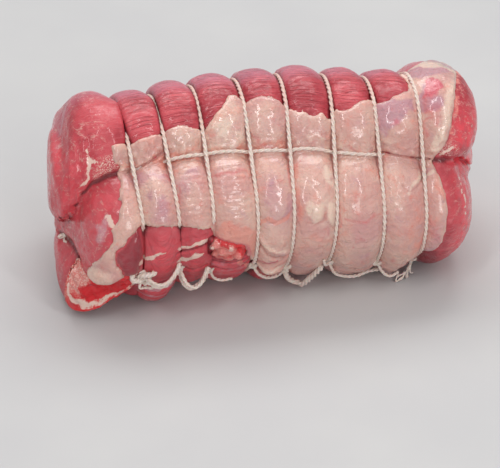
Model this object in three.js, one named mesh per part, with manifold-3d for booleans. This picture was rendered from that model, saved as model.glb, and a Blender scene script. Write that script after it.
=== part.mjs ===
// A raw beef joint, rolled from two long muscles, half wrapped in a sheet of fat and tied for roasting
// with eight loops of butcher's twine and one long string. It lies on its side: X runs along the roll,
// the fat faces -Y, Z is up, and the origin is on the table under the middle. Millimetres and degrees.
import * as THREE from 'three';
import { mergeVertices } from 'three/addons/utils/BufferGeometryUtils.js';
import Module from 'manifold-3d';

const wasm = await Module();
wasm.setup();

// ---- sizes -------------------------------------------------------------------------------------
const AXIS_HEIGHT = 53;          // the roll's middle line above the table
const MIDDLE = [3.3, -1.15];     // middle of the whole joint, in x and y from the roll's middle line
const RAY_START = [-72, 80];     // where the rounded ends are measured from
const LOBES = [                  // two long muscles side by side, each an oval roll with a domed end
  { side: 1, offset: 21, along: 57, across: 40, x0: -122.5, x1: 128.5, cap0: 46, cap1: 30 },
  { side: -1, offset: 22, along: 56, across: 40, x0: -115, x1: 124, cap0: 36, cap1: 32 },
];
const OVAL = 2.2, DOME = 2.4;    // how square the ovals and the domes are
const CREASE_BLEND = 3.5;
const UNDER = { x: -93.5, y: -21, z: 20, rx: 27, ry: 31, rz: 22, square: 2.8, blend: 2.5 };
const TOP_TRIM = [[-118, 2], [-95, 4.5], [-72, 5], [-48, 2], [-20, 0.5], [25, 1], [50, 4],
  [72, 6.5], [92, 4.5], [122, 2]];
const LOW_TRIM = [[-118, -3], [-90, -1], [-70, 0], [-50, 6], [-25, 5], [0, 2.5], [22, 4.5],
  [50, 1], [72, -1.5], [95, -1.5], [118, 0]];
const TIES = [                   // each loop's plane: x on the middle line, its lean with y and with z
  { x: -81.5, dy: -0.10, dz: 0.02, knot: -20 }, { x: -59.4, dy: -0.07, dz: 0, knot: -19 },
  { x: -38.9, dy: -0.035, dz: 0.05, knot: -22 }, { x: -12.4, dy: -0.013, dz: 0.03, knot: -26 },
  { x: 10.9, dy: 0.035, dz: 0.05, knot: -30 }, { x: 36.6, dy: 0.055, dz: 0.06, knot: -30 },
  { x: 63.4, dy: 0.038, dz: 0.01, knot: -35 }, { x: 86.7, dy: 0.014, dz: 0.025, knot: -47 },
];
const PINCH = 7.5, PINCH_EASE = 4.3, PINCH_EASE_TURN = 28;  // bite of a loop, and how much less in front
const CHANNEL = 1.45;            // half the flat bed under a loop
const BULGE = 0.55;              // roundness of the meat between two loops
const END_BULGE = 14;
const TWINE = 1.15;              // radius
const FAT = 1.6;                 // thickness of the fat
const GAP = 0.3;                 // between pieces that touch
const SAG = 4, SAG_DROP = 0.6;   // how softly the underside flattens on the table
const KNOT = { along: 3.5, round: 2.8, out: 3.3 };
const AROUND = 32, BAY_STEPS = [0, 0.06, 0.2, 0.38, 0.62, 0.8, 0.94];
const END_STEPS = [0.02, 0.06, 0.12, 0.2, 0.3, 0.42, 0.55, 0.68, 0.8, 0.9, 1];
const LOOP_STEPS = 34, TWINE_SIDES = 5;
// the fat's edges: how far it turns over the top and under, and where it ends along the roll
const FAT_TOP = [[-92, 55], [-79, 60], [-58, 65.5], [-36, 65], [-24, 73], [-15, 81], [-9, 76], [0, 78],
  [12, 73], [22, 66], [36, 63], [42, 66], [52, 67], [61, 71], [70, 68], [82, 72], [90, 94], [125, 96]];
const FAT_LOW = [[-92, 14], [-39, 11], [-36, 2], [-20, -3], [-15, -18], [-6, -30], [6, -42], [22, -56],
  [125, -56]];
const FAT_LEFT = [[-60, -88], [15, -90], [28, -86.5], [40, -85.5], [47, -84], [60, -89]];
const FAT_RIGHT = [[-60, 98], [-37, 97], [-20, 95.5], [7, 98], [23, 96], [34, 97], [45, 104],
  [63, 109], [77, 113], [92, 118]];
const TAIL_LEFT = [[-24, -107], [-15, -106], [-4, -101], [3, -96], [10, -92], [17, -90]];
const TAIL_RIGHT = [[-24, -91], [-13, -88.5], [-5, -91], [1, -91], [5, -87], [10, -82], [17, -77]];
// ends of twine lying on the meat: the loop they hang from, then along, turn and height over the meat
const TAILS = [
  [0, [[4, -5, 3.4], [9, -9, 2.2], [13, -6, 2.2], [15.5, -1, 2.2]]],
  [0, [[-2, -8, 3.6], [-3, -15, 2.2], [-2, -20, 2]]],
  [1, [[3, -8, 4], [7, -13, 4.6], [10.5, -10, 3], [12.5, -4, 2.4]]],
  [2, [[3, -5, 3], [6, -10, 2]]],
  [3, [[4, -4, 3], [9, -8, 2], [15, -10, 2]]],
  [4, [[2, -9, 4], [7, -15, 4.8], [12, -12, 3.4], [17, -6, 2]]],
  [5, [[4, -5, 3], [9, -14, 2.2], [17, -18, 2], [22, -16, 2]]],
  [6, [[4, -4, 3], [8, -8, 2.2], [14, -9, 2]]],
  [7, [[3, -5, 4.4], [5, -9, 4.8]]],
  [7, [[-3, -4, 4.2], [-6, -9, 4]]],
];

// ---- the meat's surface ------------------------------------------------------------------------
const rad = THREE.MathUtils.degToRad;
const clamp = THREE.MathUtils.clamp;

function follow(table, at) {     // a smooth curve through a table of [place, value]
  let i = 0;
  while (i < table.length - 2 && at > table[i + 1][0]) i += 1;
  const [a, va] = table[i], [b, vb] = table[i + 1];
  const s = clamp((at - a) / (b - a), 0, 1);
  return va + (vb - va) * s * s * (3 - 2 * s);
}

function creaseTurn(x) {         // where the two muscles meet, as a turn up from the front
  const curl = clamp((-100 - x) / 20, 0, 1.2);
  return 48 - 10.5 * ((x + 15) / 110) ** 2 - 0.012 * x - 38 * curl ** 1.5;
}

function smoothMin(a, b, k) {
  const h = clamp(0.5 + 0.5 * (b - a) / k, 0, 1);
  return b * (1 - h) + a * h - k * h * (1 - h);
}

function lobe(l, x, y, h) {
  const c = rad(creaseTurn(x));
  const e1 = -Math.cos(c) * y + Math.sin(c) * h;
  const e2 = l.side * (Math.sin(c) * y + Math.cos(c) * h) - l.offset;
  const end = Math.max(0, x < 0 ? (l.x0 + l.cap0 - x) / l.cap0 : (x - l.x1 + l.cap1) / l.cap1);
  const oval = Math.abs(e1 / l.along) ** OVAL + Math.abs(e2 / l.across) ** OVAL;
  return ((oval ** (DOME / OVAL) + end ** DOME) ** (1 / DOME) - 1) * l.across;
}

function meatValue(x, y, h) {    // below zero inside
  const v = smoothMin(lobe(LOBES[0], x, y, h), lobe(LOBES[1], x, y, h), CREASE_BLEND);
  const u = UNDER, z = h + AXIS_HEIGHT;
  const g = (Math.abs((x - u.x) / u.rx) ** u.square + Math.abs((y - u.y) / u.ry) ** u.square
    + Math.abs((z - u.z) / u.rz) ** u.square) ** (1 / u.square);
  return smoothMin(v, (g - 1) * 24, u.blend);
}

function cast(ox, d) {           // distance from the middle line to the surface
  let near = 0, far = 190;
  for (let i = 0; i < 22; i += 1) {
    const mid = (near + far) / 2;
    if (meatValue(ox + mid * d.x, mid * d.y, mid * d.z) < 0) near = mid; else far = mid;
  }
  return (near + far) / 2;
}

function turnBetween(a, b) {
  return Math.abs((((a - b + 180) % 360) + 360) % 360 - 180);
}

function trim(x, turn) {
  return follow(TOP_TRIM, x) * Math.exp(-((turnBetween(turn, 118) / 48) ** 2))
    + follow(LOW_TRIM, x) * Math.exp(-((turnBetween(turn, -60) / 34) ** 2));
}

function pinch(turn) {
  const front = 0.5 + 0.5 * Math.cos(rad(turn - PINCH_EASE_TURN));
  return PINCH - PINCH_EASE * front ** 1.6;
}

function sag(z) {                // the height of a point once the meat has settled on the table
  return Math.max(SAG * Math.log1p(Math.exp(z / SAG)) - SAG_DROP, -0.5);
}

function planeX(k, y, h) {
  return TIES[k].x + TIES[k].dy * y + TIES[k].dz * h;
}

function bulge(distance, half) { // 0 in the bed of a loop, 1 midway between loops
  const q = clamp((distance - CHANNEL) / (half - CHANNEL), 0, 1);
  return (q * (2 - q)) ** BULGE;
}

// Station 0 to 7 is the loops, below 0 and above 7 the domed ends.
function ray(station, turn, y, h) {
  const last = TIES.length - 1;
  const k = clamp(Math.floor(station), 0, last - 1), s = clamp(station - k, 0, 1);
  const tau = station < 0 ? -station : Math.max(0, station - last);
  const tilt = rad(90 * tau), out = station < 0 ? -1 : 1;
  const xa = planeX(k, y, h), gap = planeX(k + 1, y, h) - xa;
  let ox = xa + gap * s;
  if (tau > 0) ox += (RAY_START[station < 0 ? 0 : 1] - ox) * tau;
  const d = new THREE.Vector3(tau > 0 ? out * Math.sin(tilt) : 0,
    -Math.cos(tilt) * Math.cos(rad(turn)), Math.cos(tilt) * Math.sin(rad(turn)));
  return { ox, d, s, gap, tilt, isEnd: tau > 0 };
}

const creaseAt = new Map();
function crease(station, side) { // the turn at which this station's section meets a crease
  const key = `${station} ${side}`;
  if (!creaseAt.has(key)) {
    let turn = 45 + side;
    for (let pass = 0; pass < 40; pass += 1) {
      const { ox, d } = ray(station, turn, -50 * Math.cos(rad(turn)), 50 * Math.sin(rad(turn)));
      turn += 0.3 * (creaseTurn(ox + cast(ox, d) * d.x) + side - turn);
    }
    creaseAt.set(key, turn - side);
  }
  return creaseAt.get(key);
}

// A point of the skin: delta is the turn from the front crease, lift the height over the meat, and
// ease replaces the loops' bite by a lesser one.
function skin(station, delta, lift = 0, ease = null) {
  const near = 0.5 + 0.5 * Math.cos(rad(delta));
  const turn = crease(station, 0) * near + crease(station, 180) * (1 - near) + delta;
  return skinAt(station, turn, lift, ease);
}

function skinAt(station, turn, lift = 0, ease = null) {
  const last = TIES.length - 1;
  const bite = ease === null ? pinch(turn) : ease;
  const p = new THREE.Vector3();
  let y = -50 * Math.cos(rad(turn)), h = 50 * Math.sin(rad(turn)), way = null;
  for (let pass = 0; pass < 5; pass += 1) {
    way = ray(station, turn, y, h);
    const { ox, d, s, gap, tilt, isEnd } = way;
    const reach = cast(ox, d);
    const r = reach - trim(ox + reach * d.x, turn) * Math.cos(tilt);
    p.set(ox + r * d.x, r * d.y, sag(AXIS_HEIGHT + r * d.z));
    const away = Math.abs(p.x - planeX(station < 0 ? 0 : last, p.y, p.z - AXIS_HEIGHT));
    const free = isEnd ? bulge(away, END_BULGE) : bulge(Math.min(s, 1 - s) * gap, gap / 2);
    p.addScaledVector(d, -bite * (1 - free) * Math.cos(tilt));
    if (!isEnd) { y = p.y; h = p.z - AXIS_HEIGHT; }
  }
  p.addScaledVector(way.d, lift);
  return { p, d: way.d, turn };
}

// ---- the meat and the fat ----------------------------------------------------------------------
const stations = [];
for (const t of [...END_STEPS].reverse()) stations.push(-t);
for (let k = 0; k < TIES.length - 1; k += 1) for (const s of BAY_STEPS) stations.push(k + s);
stations.push(TIES.length - 1);
for (const t of END_STEPS) stations.push(TIES.length - 1 + t);

function deltaOf(column) {       // columns crowd towards the two creases
  const t = (column % AROUND) * 360 / AROUND;
  return t - 8 * Math.sin(rad(2 * t));
}

function wrapSurface(lift, floor) {
  const rows = stations.length - 1;
  const g = new THREE.SphereGeometry(1, AROUND, rows);
  const at = g.getAttribute('position');
  for (let row = 0; row <= rows; row += 1) {
    for (let col = 0; col <= AROUND; col += 1) {
      const pole = row === 0 || row === rows;
      const { p } = skin(stations[row], pole ? 0 : deltaOf(col), lift);
      at.setXYZ(row * (AROUND + 1) + col, p.x, p.y, Math.max(p.z, floor));
    }
  }
  return g;
}

function merged(geometry) {
  const g = geometry.clone();
  g.deleteAttribute('normal');
  g.deleteAttribute('uv');
  return mergeVertices(g, 1e-4);
}

function toSolid(geometry) {
  const g = merged(geometry);
  const tri = Uint32Array.from(g.index.array), v = g.getAttribute('position').array;
  let volume = 0;
  const a = new THREE.Vector3(), b = new THREE.Vector3(), c = new THREE.Vector3();
  for (let i = 0; i < tri.length; i += 3) {
    a.fromArray(v, tri[i] * 3); b.fromArray(v, tri[i + 1] * 3); c.fromArray(v, tri[i + 2] * 3);
    volume += a.dot(b.cross(c));
  }
  if (volume < 0) for (let i = 0; i < tri.length; i += 3) [tri[i + 1], tri[i + 2]] = [tri[i + 2], tri[i + 1]];
  return new wasm.Manifold(new wasm.Mesh({
    numProp: 3, vertProperties: Float32Array.from(v), triVerts: tri,
  }));
}

function toGeometry(solid) {
  const m = solid.getMesh();
  const g = new THREE.BufferGeometry();
  g.setAttribute('position', new THREE.BufferAttribute(Float32Array.from(m.vertProperties), 3));
  g.setIndex(new THREE.BufferAttribute(Uint32Array.from(m.triVerts), 1));
  return g;
}

// A block reaching out from the middle line, with its four sides following the fat's edges.
function fatBlock(low, high, left, right, steps, turns) {
  const g = new THREE.BoxGeometry(1, 1, 1, steps, turns, 1);
  const at = g.getAttribute('position');
  for (let i = 0; i < at.count; i += 1) {
    const a = at.getX(i) + 0.5, b = at.getY(i) + 0.5, r = at.getZ(i) < 0 ? 18 : 84;
    let turn = 20, x = 0;
    for (let pass = 0; pass < 6; pass += 1) {
      x = follow(left, turn) + (follow(right, turn) - follow(left, turn)) * a;
      turn = low(x) + (high(x) - low(x)) * b;
    }
    at.setXYZ(i, x, -r * Math.cos(rad(turn)), AXIS_HEIGHT + r * Math.sin(rad(turn)));
  }
  return toSolid(g);
}

const fatRegion = fatBlock((x) => follow(FAT_LOW, x), (x) => follow(FAT_TOP, x), FAT_LEFT, FAT_RIGHT, 30, 8)
  .add(fatBlock(() => -22, () => 16.5, TAIL_LEFT, TAIL_RIGHT, 1, 6));
const fatShell = toSolid(wrapSurface(GAP + FAT, 1)).subtract(toSolid(wrapSurface(GAP, 0.6)));
const fatSolid = fatShell.intersect(fatRegion);

function fatOver(x, turn, wider) { // how much fat lies on the meat here, its edges taken this much wider
  const t = turnBetween(turn, 0) * (turn < 0 && turn > -180 ? -1 : 1);
  const body = t > follow(FAT_LOW, x) - wider && t < follow(FAT_TOP, x) + wider
    && x > follow(FAT_LEFT, t) - wider && x < follow(FAT_RIGHT, t) + wider;
  return body ? FAT + GAP : 0;
}

// ---- the twine ---------------------------------------------------------------------------------
function hull(points) {          // taut outline round a set of [y, h]
  const p = [...points].sort((a, b) => a[0] - b[0] || a[1] - b[1]);
  const turnOf = (o, a, b) => (a[0] - o[0]) * (b[1] - o[1]) - (a[1] - o[1]) * (b[0] - o[0]);
  const half = (list) => {
    const out = [];
    for (const q of list) {
      while (out.length > 1 && turnOf(out[out.length - 2], out[out.length - 1], q) <= 0) out.pop();
      out.push(q);
    }
    out.pop();
    return out;
  };
  return [...half(p), ...half([...p].reverse())];
}

const LONG_LIFT = TWINE + GAP + 0.25;
const LONG_EASE = 1.6;           // how far a loop pulls the long string down

function longPoint(station, delta) {
  const last = TIES.length - 1;
  const bare = skin(station, delta, 0, station < 0 || station > last ? null : LONG_EASE);
  const isEnd = station < 0 || station > last;
  const lift = LONG_LIFT + fatOver(bare.p.x, bare.turn, 5) + (isEnd ? 0.6 : 0);
  return { p: bare.p.addScaledVector(bare.d, lift), d: bare.d };
}

function loopPath(k) {
  const at = [];
  for (let t = 0; t < 360; t += 5) {
    const { turn, d, p } = skin(k, t, 0);
    at.push(p.addScaledVector(d, fatOver(p.x, turn, 2) + GAP + TWINE + 0.8));
  }
  for (const delta of [0, 180]) {
    const { p, d } = longPoint(k, delta);
    at.push(p.addScaledVector(d, 2 * TWINE + GAP + (delta ? 2.3 : 0.6)));
  }
  const ring = hull(at.map((p) => [p.y, Math.max(p.z, TWINE + 0.6) - AXIS_HEIGHT]));
  const outline = new THREE.CurvePath();
  ring.forEach((q, i) => {
    const n = ring[(i + 1) % ring.length];
    outline.add(new THREE.LineCurve3(new THREE.Vector3(planeX(k, q[0], q[1]), q[0], AXIS_HEIGHT + q[1]),
      new THREE.Vector3(planeX(k, n[0], n[1]), n[0], AXIS_HEIGHT + n[1])));
  });
  return new THREE.CatmullRomCurve3(outline.getSpacedPoints(LOOP_STEPS).slice(0, LOOP_STEPS), true);
}

function strand(points, steps) {
  const ring = [];
  for (let i = 0; i < TWINE_SIDES; i += 1) {
    const t = 2 * Math.PI * i / TWINE_SIDES;
    ring.push(new THREE.Vector2(TWINE * Math.cos(t), TWINE * Math.sin(t)));
  }
  const path = new THREE.CatmullRomCurve3(points);
  return new THREE.ExtrudeGeometry(new THREE.Shape(ring), { steps, extrudePath: path, bevelEnabled: false });
}

function onMeat(x, turn, lift) { // a point over the bulging meat at this place along the roll
  let station = 0;
  const r = 56, y = -r * Math.cos(rad(turn)), h = r * Math.sin(rad(turn));
  for (let k = 0; k < TIES.length - 1; k += 1) {
    const xa = planeX(k, y, h), xb = planeX(k + 1, y, h);
    if (x >= xa) station = k + clamp((x - xa) / (xb - xa), 0, 1);
  }
  if (x > planeX(TIES.length - 1, y, h)) {
    station = TIES.length - 1 + clamp((x - planeX(TIES.length - 1, y, h)) / 95, 0, 1);
  }
  if (x < planeX(0, y, h)) station = -clamp((planeX(0, y, h) - x) / 95, 0, 1);
  const { p } = skinAt(station, turn, lift + fatOver(x, turn, 2));
  p.z = Math.max(p.z, TWINE + 1);
  return p;
}

function loopTie(k) {
  const path = loopPath(k);
  let solid = toSolid(new THREE.TubeGeometry(path, LOOP_STEPS, TWINE, TWINE_SIDES, true));
  const turnOf = (p) => THREE.MathUtils.radToDeg(Math.atan2(p.z - AXIS_HEIGHT, -p.y));
  let best = null;
  for (const p of path.getSpacedPoints(360)) {
    if (!best || Math.abs(turnOf(p) - TIES[k].knot) < Math.abs(turnOf(best) - TIES[k].knot)) best = p;
  }
  const away = new THREE.Vector3(0, best.y, best.z - AXIS_HEIGHT).normalize();
  const knotAt = best.clone().addScaledVector(away, KNOT.out - TWINE);
  const knot = new THREE.SphereGeometry(1, 8, 5);
  knot.scale(KNOT.along, KNOT.round, KNOT.round);
  knot.translate(knotAt.x, knotAt.y, knotAt.z);
  solid = solid.add(toSolid(knot));
  for (const [loop, way] of TAILS) {
    if (loop !== k) continue;
    const points = way.map(([dx, turn, lift]) => onMeat(best.x + dx, TIES[k].knot + turn, lift + TWINE));
    solid = solid.add(toSolid(strand([knotAt.clone(), ...points], 2 * points.length + 1)));
  }
  return toGeometry(solid);
}

function longTie() {
  const last = TIES.length - 1;
  const stops = [];
  for (const t of [0.9, 0.8, 0.68, 0.55, 0.42, 0.3, 0.2, 0.12, 0.06]) stops.push(-t);
  for (let k = 0; k < last; k += 1) stops.push(k, k + 0.2, k + 0.5, k + 0.8);
  stops.push(last);
  for (const t of [0.06, 0.12, 0.2, 0.3, 0.42, 0.55, 0.68, 0.8, 0.9]) stops.push(last + t);
  const front = stops.map((s) => longPoint(s, 0).p);
  const back = stops.map((s) => longPoint(s, 180).p).reverse();
  const ends = [skin(last + 1, 0, LONG_LIFT + 0.4).p, skin(-1, 0, LONG_LIFT + 0.4).p];
  const path = new THREE.CatmullRomCurve3([...front, ends[0], ...back, ends[1]], true);
  return new THREE.TubeGeometry(path, 84, TWINE, 5, true);
}

// ---- the object --------------------------------------------------------------------------------
const beef = new THREE.MeshStandardMaterial({ color: 0xb23a48, roughness: 0.42, metalness: 0 });
const fatWhite = new THREE.MeshStandardMaterial({ color: 0xe0b8a6, roughness: 0.4, metalness: 0 });
const twine = new THREE.MeshStandardMaterial({ color: 0xe2d8c8, roughness: 0.85, metalness: 0 });

const group = new THREE.Group();   // stood so that the origin is under the middle of the whole joint
function add(name, geometry, material) {
  const mesh = new THREE.Mesh(geometry, material);
  mesh.name = name;
  mesh.position.set(-MIDDLE[0], -MIDDLE[1], 0);
  group.add(mesh);
}
add('meat', toGeometry(toSolid(wrapSurface(0, 0))), beef);
add('fat_cover', toGeometry(fatSolid), fatWhite);
for (let k = 0; k < TIES.length; k += 1) add(`tie_${k + 1}`, loopTie(k), twine.clone());
add('long_tie', toGeometry(toSolid(longTie())), twine.clone());

export default group;
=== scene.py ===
import bpy
import math
import numpy as np
from mathutils import Matrix, Vector
from types import SimpleNamespace


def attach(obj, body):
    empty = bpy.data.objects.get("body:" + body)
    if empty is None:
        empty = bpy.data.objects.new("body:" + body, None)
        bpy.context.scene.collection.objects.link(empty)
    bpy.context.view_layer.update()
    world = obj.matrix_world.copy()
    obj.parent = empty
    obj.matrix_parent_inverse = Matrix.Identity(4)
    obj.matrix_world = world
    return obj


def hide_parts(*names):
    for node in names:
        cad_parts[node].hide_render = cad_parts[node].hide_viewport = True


# A raw beef joint, rolled from two long muscles, half wrapped in fat and tied with butcher's twine.
# Shapes are worked out in millimetres round the roll's middle line: x along the roll, y to the back,
# h above the line. A turn is the angle round that line in degrees, 0 at the front and 90 on top.
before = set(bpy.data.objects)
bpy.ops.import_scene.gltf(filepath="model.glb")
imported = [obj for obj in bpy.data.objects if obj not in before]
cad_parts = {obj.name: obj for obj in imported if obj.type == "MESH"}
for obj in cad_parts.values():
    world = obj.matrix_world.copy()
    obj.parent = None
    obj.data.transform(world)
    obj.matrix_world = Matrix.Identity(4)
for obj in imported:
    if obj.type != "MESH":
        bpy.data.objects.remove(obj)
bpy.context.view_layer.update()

roll = {
    "axisHeight": 53.0,
    "middle": (3.3, -1.15, 0.0),    # of the whole joint, measured from the roll's own middle
    "rayStart": (-72.0, 80.0),      # the domed ends are measured from here
    "lobes": (
        {"side": 1, "offset": 21, "along": 57, "across": 40, "x0": -122.5, "x1": 128.5, "cap0": 46, "cap1": 30},
        {"side": -1, "offset": 22, "along": 56, "across": 40, "x0": -115, "x1": 124, "cap0": 36, "cap1": 32}),
    "oval": 2.2, "dome": 2.4, "creaseBlend": 3.5,
    "under": {"at": (-93.5, -21, -33), "size": (27, 31, 22), "square": 2.8, "blend": 2.5, "scale": 24},
    # x and mm taken off: on top and under the front, each spread this many degrees round its turn
    "trims": (
        (118, 48, ((-118, 2), (-95, 4.5), (-72, 5), (-48, 1.6), (-20, -0.2), (2, -1), (25, -1), (50, 1.9),
                   (72, 5.2), (92, 4.0), (110, 1.8), (124, -0.5))),
        (-60, 34, ((-118, -3), (-90, -1), (-70, 0), (-50, 6), (-25, 5), (0, 2.5), (22, 4.5), (50, 1),
                   (72, -1.5), (95, 0.5), (118, 4.5)))),
    # x and turn of the line where the two muscles meet in front
    "crease": ((-124, -22), (-118, -8), (-113, 11), (-109, 25), (-105, 35), (-99, 41), (-90, 44), (-80, 45.8),
               (-65, 49), (-33, 50.6), (14, 47.6), (60, 39.6), (88, 33), (104, 30.6), (112, 28), (118, 24),
               (124, 17)),
    "sag": 4.0, "sagDrop": 0.6,
    "nearest": 12.0, "furthest": 112.0, "halvings": 13,     # the search along each ray, in mm
    "guess": 50.0, "settles": 3,    # how far out a ray is first thought to end, and how often that is mended
}
ties = {
    "x": np.array([-81.5, -59.4, -38.9, -12.4, 10.9, 36.6, 63.4, 86.7]),
    "leanY": np.array([-0.10, -0.07, -0.035, -0.013, 0.035, 0.055, 0.038, 0.014]),
    "leanH": np.array([0.02, 0.0, 0.05, 0.03, 0.05, 0.06, 0.01, 0.025]),
    "pinch": 7.5, "pinchEase": 4.3, "easeTurn": 28.0,
    "bed": 1.1,                     # half the width of the bed pressed in by the string
    "bulge": 0.55, "endBulge": 14.0,
    "lean": 0.45, "leanTurn": 112, "leanSpread": 42,    # on top each bulge leans towards the loop on its left
    "dip": 1.5, "dipWidth": 4.6, "dipTurn": 8,      # the softer hollow the fat sinks into beside each loop
}
lastTie = len(ties["x"]) - 1


def follow(table, at):
    # a smooth curve through pairs of place and value: each step eases in and out
    places, values = np.array(table, float).T
    i = np.clip(np.searchsorted(places, at) - 1, 0, len(places) - 2)
    s = np.clip((at - places[i]) / (places[i + 1] - places[i]), 0, 1)
    return values[i] + (values[i + 1] - values[i]) * s * s * (3 - 2 * s)


def ramp(value, low, high):
    # 0 below low, 1 above high, smooth between
    s = np.clip((value - low) / (high - low), 0, 1)
    return s * s * (3 - 2 * s)


def hill(value, middle, spread):
    # 1 in the middle, falling off on both sides as a bell does
    return np.exp(-((value - middle) / spread) ** 2)


def noise(x, y, z, seed):
    # smooth noise from -1 to 1: random numbers on a grid one unit apart, blended between its corners
    cell = [np.floor(v).astype(np.int64) for v in (x, y, z)]
    part = [v - c for v, c in zip((x, y, z), cell)]
    ease = [p * p * p * (p * (6 * p - 15) + 10) for p in part]
    total = 0.0
    for corner in range(8):
        step = (corner & 1, corner >> 1 & 1, corner >> 2 & 1)
        key = ((cell[0] + step[0]) * 73856093) ^ ((cell[1] + step[1]) * 19349663) \
            ^ ((cell[2] + step[2]) * 83492791) ^ (seed * 2654435761 % 4294967296)
        key = (key ^ (key >> 13)) * 1274126177 & 0xFFFFFFFF
        value = ((key ^ (key >> 16)) & 0xFFFF) / 32767.5 - 1
        weight = 1.0
        for e, s in zip(ease, step):
            weight = weight * (e if s else 1 - e)
        total = total + value * weight
    return total


def layered(x, y, z, seed, layers=3):
    # noise added to itself at twice the detail and half the strength
    return sum(0.5 ** i * noise(x * 2 ** i, y * 2 ** i, z * 2 ** i, seed + i) for i in range(layers))


def flatNoise(x, turn, wideX, wideTurn, seed, layers=1):
    # noise on the unrolled skin, its lumps this many mm wide and degrees high
    return layered(x / wideX, turn / wideTurn, 0 * x, seed, layers)


def creaseTurn(x):
    # the turn at which the two muscles meet in front, curling down at the left end
    return follow(roll["crease"], x)


def smoothMin(a, b, k):
    # the lesser of two values, the step between them rounded off over k
    h = np.clip(0.5 + 0.5 * (b - a) / k, 0, 1)
    return b * (1 - h) + a * h - k * h * (1 - h)


def lobeValue(lobe, x, y, h):
    # an oval roll with domed ends: below 0 inside, about the distance in mm outside
    c = np.radians(creaseTurn(x))
    along = -np.cos(c) * y + np.sin(c) * h
    across = lobe["side"] * (np.sin(c) * y + np.cos(c) * h) - lobe["offset"]
    end = np.where(x < 0, (lobe["x0"] + lobe["cap0"] - x) / lobe["cap0"],
                   (x - lobe["x1"] + lobe["cap1"]) / lobe["cap1"])
    oval = np.abs(along / lobe["along"]) ** roll["oval"] + np.abs(across / lobe["across"]) ** roll["oval"]
    reach = oval ** (roll["dome"] / roll["oval"]) + np.clip(end, 0, None) ** roll["dome"]
    return (reach ** (1 / roll["dome"]) - 1) * lobe["across"]


def meatValue(x, y, h):
    # the two muscles and the low piece at the left end, run together in their creases
    value = smoothMin(*(lobeValue(lobe, x, y, h) for lobe in roll["lobes"]), roll["creaseBlend"])
    under = roll["under"]
    total = sum(np.abs((v - c) / r) ** under["square"]
                for v, c, r in zip((x, y, h), under["at"], under["size"]))
    return smoothMin(value, (total ** (1 / under["square"]) - 1) * under["scale"], under["blend"])


def reachOut(ox, way):
    # the distance along each ray to the surface: the stretch that holds it is halved again and again
    near, far = np.full(ox.shape, roll["nearest"]), np.full(ox.shape, roll["furthest"])
    for i in range(roll["halvings"]):
        mid = (near + far) / 2
        inside = meatValue(ox + mid * way[0], mid * way[1], mid * way[2]) < 0
        near, far = np.where(inside, mid, near), np.where(inside, far, mid)
    return (near + far) / 2


def turnBetween(a, b):
    # the angle between two turns, 0 to 180
    return np.abs((a - b + 180) % 360 - 180)


def signedTurn(turn):
    # the same turn from -180 to 180
    return (np.asarray(turn) + 180) % 360 - 180


def trimmed(x, turn):
    # how much the roll falls short of its ovals, over the top and under the front
    return sum(follow(table, x) * hill(turnBetween(turn, at), 0, spread) for at, spread, table in roll["trims"])


def pinchDepth(turn):
    # the bite of a loop, least in the fat in front
    front = 0.5 + 0.5 * np.cos(np.radians(turn - ties["easeTurn"]))
    return ties["pinch"] - ties["pinchEase"] * front ** 1.6


def tiePlane(k, y, h):
    # x of loop k: its place on the middle line, and its lean to the back and upwards
    return ties["x"][k] + ties["leanY"][k] * y + ties["leanH"][k] * h


def fromTie(k, p):
    # how far along the roll a point lies from loop k
    return np.abs(p[..., 0] - tiePlane(k, p[..., 1], p[..., 2] - roll["axisHeight"]))


def bulging(distance, half):
    # 0 in the bed of a loop, 1 midway between two loops, round between
    q = np.clip((distance - ties["bed"]) / (half - ties["bed"]), 0, 1)
    return (q * (2 - q)) ** ties["bulge"]


def sagged(z):
    # heights near the table ease off towards it, as soft meat does
    return np.maximum(roll["sag"] * np.logaddexp(0, z / roll["sag"]) - roll["sagDrop"], -0.5)


def circlePoint(turn, radius):
    # y and h on a circle round the middle line
    return -radius * np.cos(np.radians(turn)), radius * np.sin(np.radians(turn))


def castRay(station, turn, y, h):
    # stations 0 to 7 are the loops, below 0 and above 7 the domed ends, where the rays swing outwards
    k = np.clip(np.floor(station).astype(int), 0, lastTie - 1)
    s = np.clip(station - k, 0, 1)
    left = station < 0
    tau = np.where(left, -station, np.maximum(0, station - lastTie))
    tilt = np.radians(90 * tau)
    xa = tiePlane(k, y, h)
    gap = tiePlane(k + 1, y, h) - xa
    ox = xa + gap * s
    ox = ox + (np.where(left, *roll["rayStart"]) - ox) * tau
    way = (np.where(left, -1, 1) * np.sin(tilt), *(np.cos(tilt) * v for v in circlePoint(turn, 1)))
    return ox, way, s, gap, np.cos(tilt), tau > 0


def creaseOf(station, side):
    # the turn at which each station's section meets the front crease, or the back one, by small steps
    turn = np.full(station.shape, 45.0 + side)
    for i in range(30):
        ox, way, *rest = castRay(station, turn, *circlePoint(turn, roll["guess"]))
        turn = turn + 0.3 * (creaseTurn(ox + reachOut(ox, way) * way[0]) + side - turn)
    return turn - side


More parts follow.
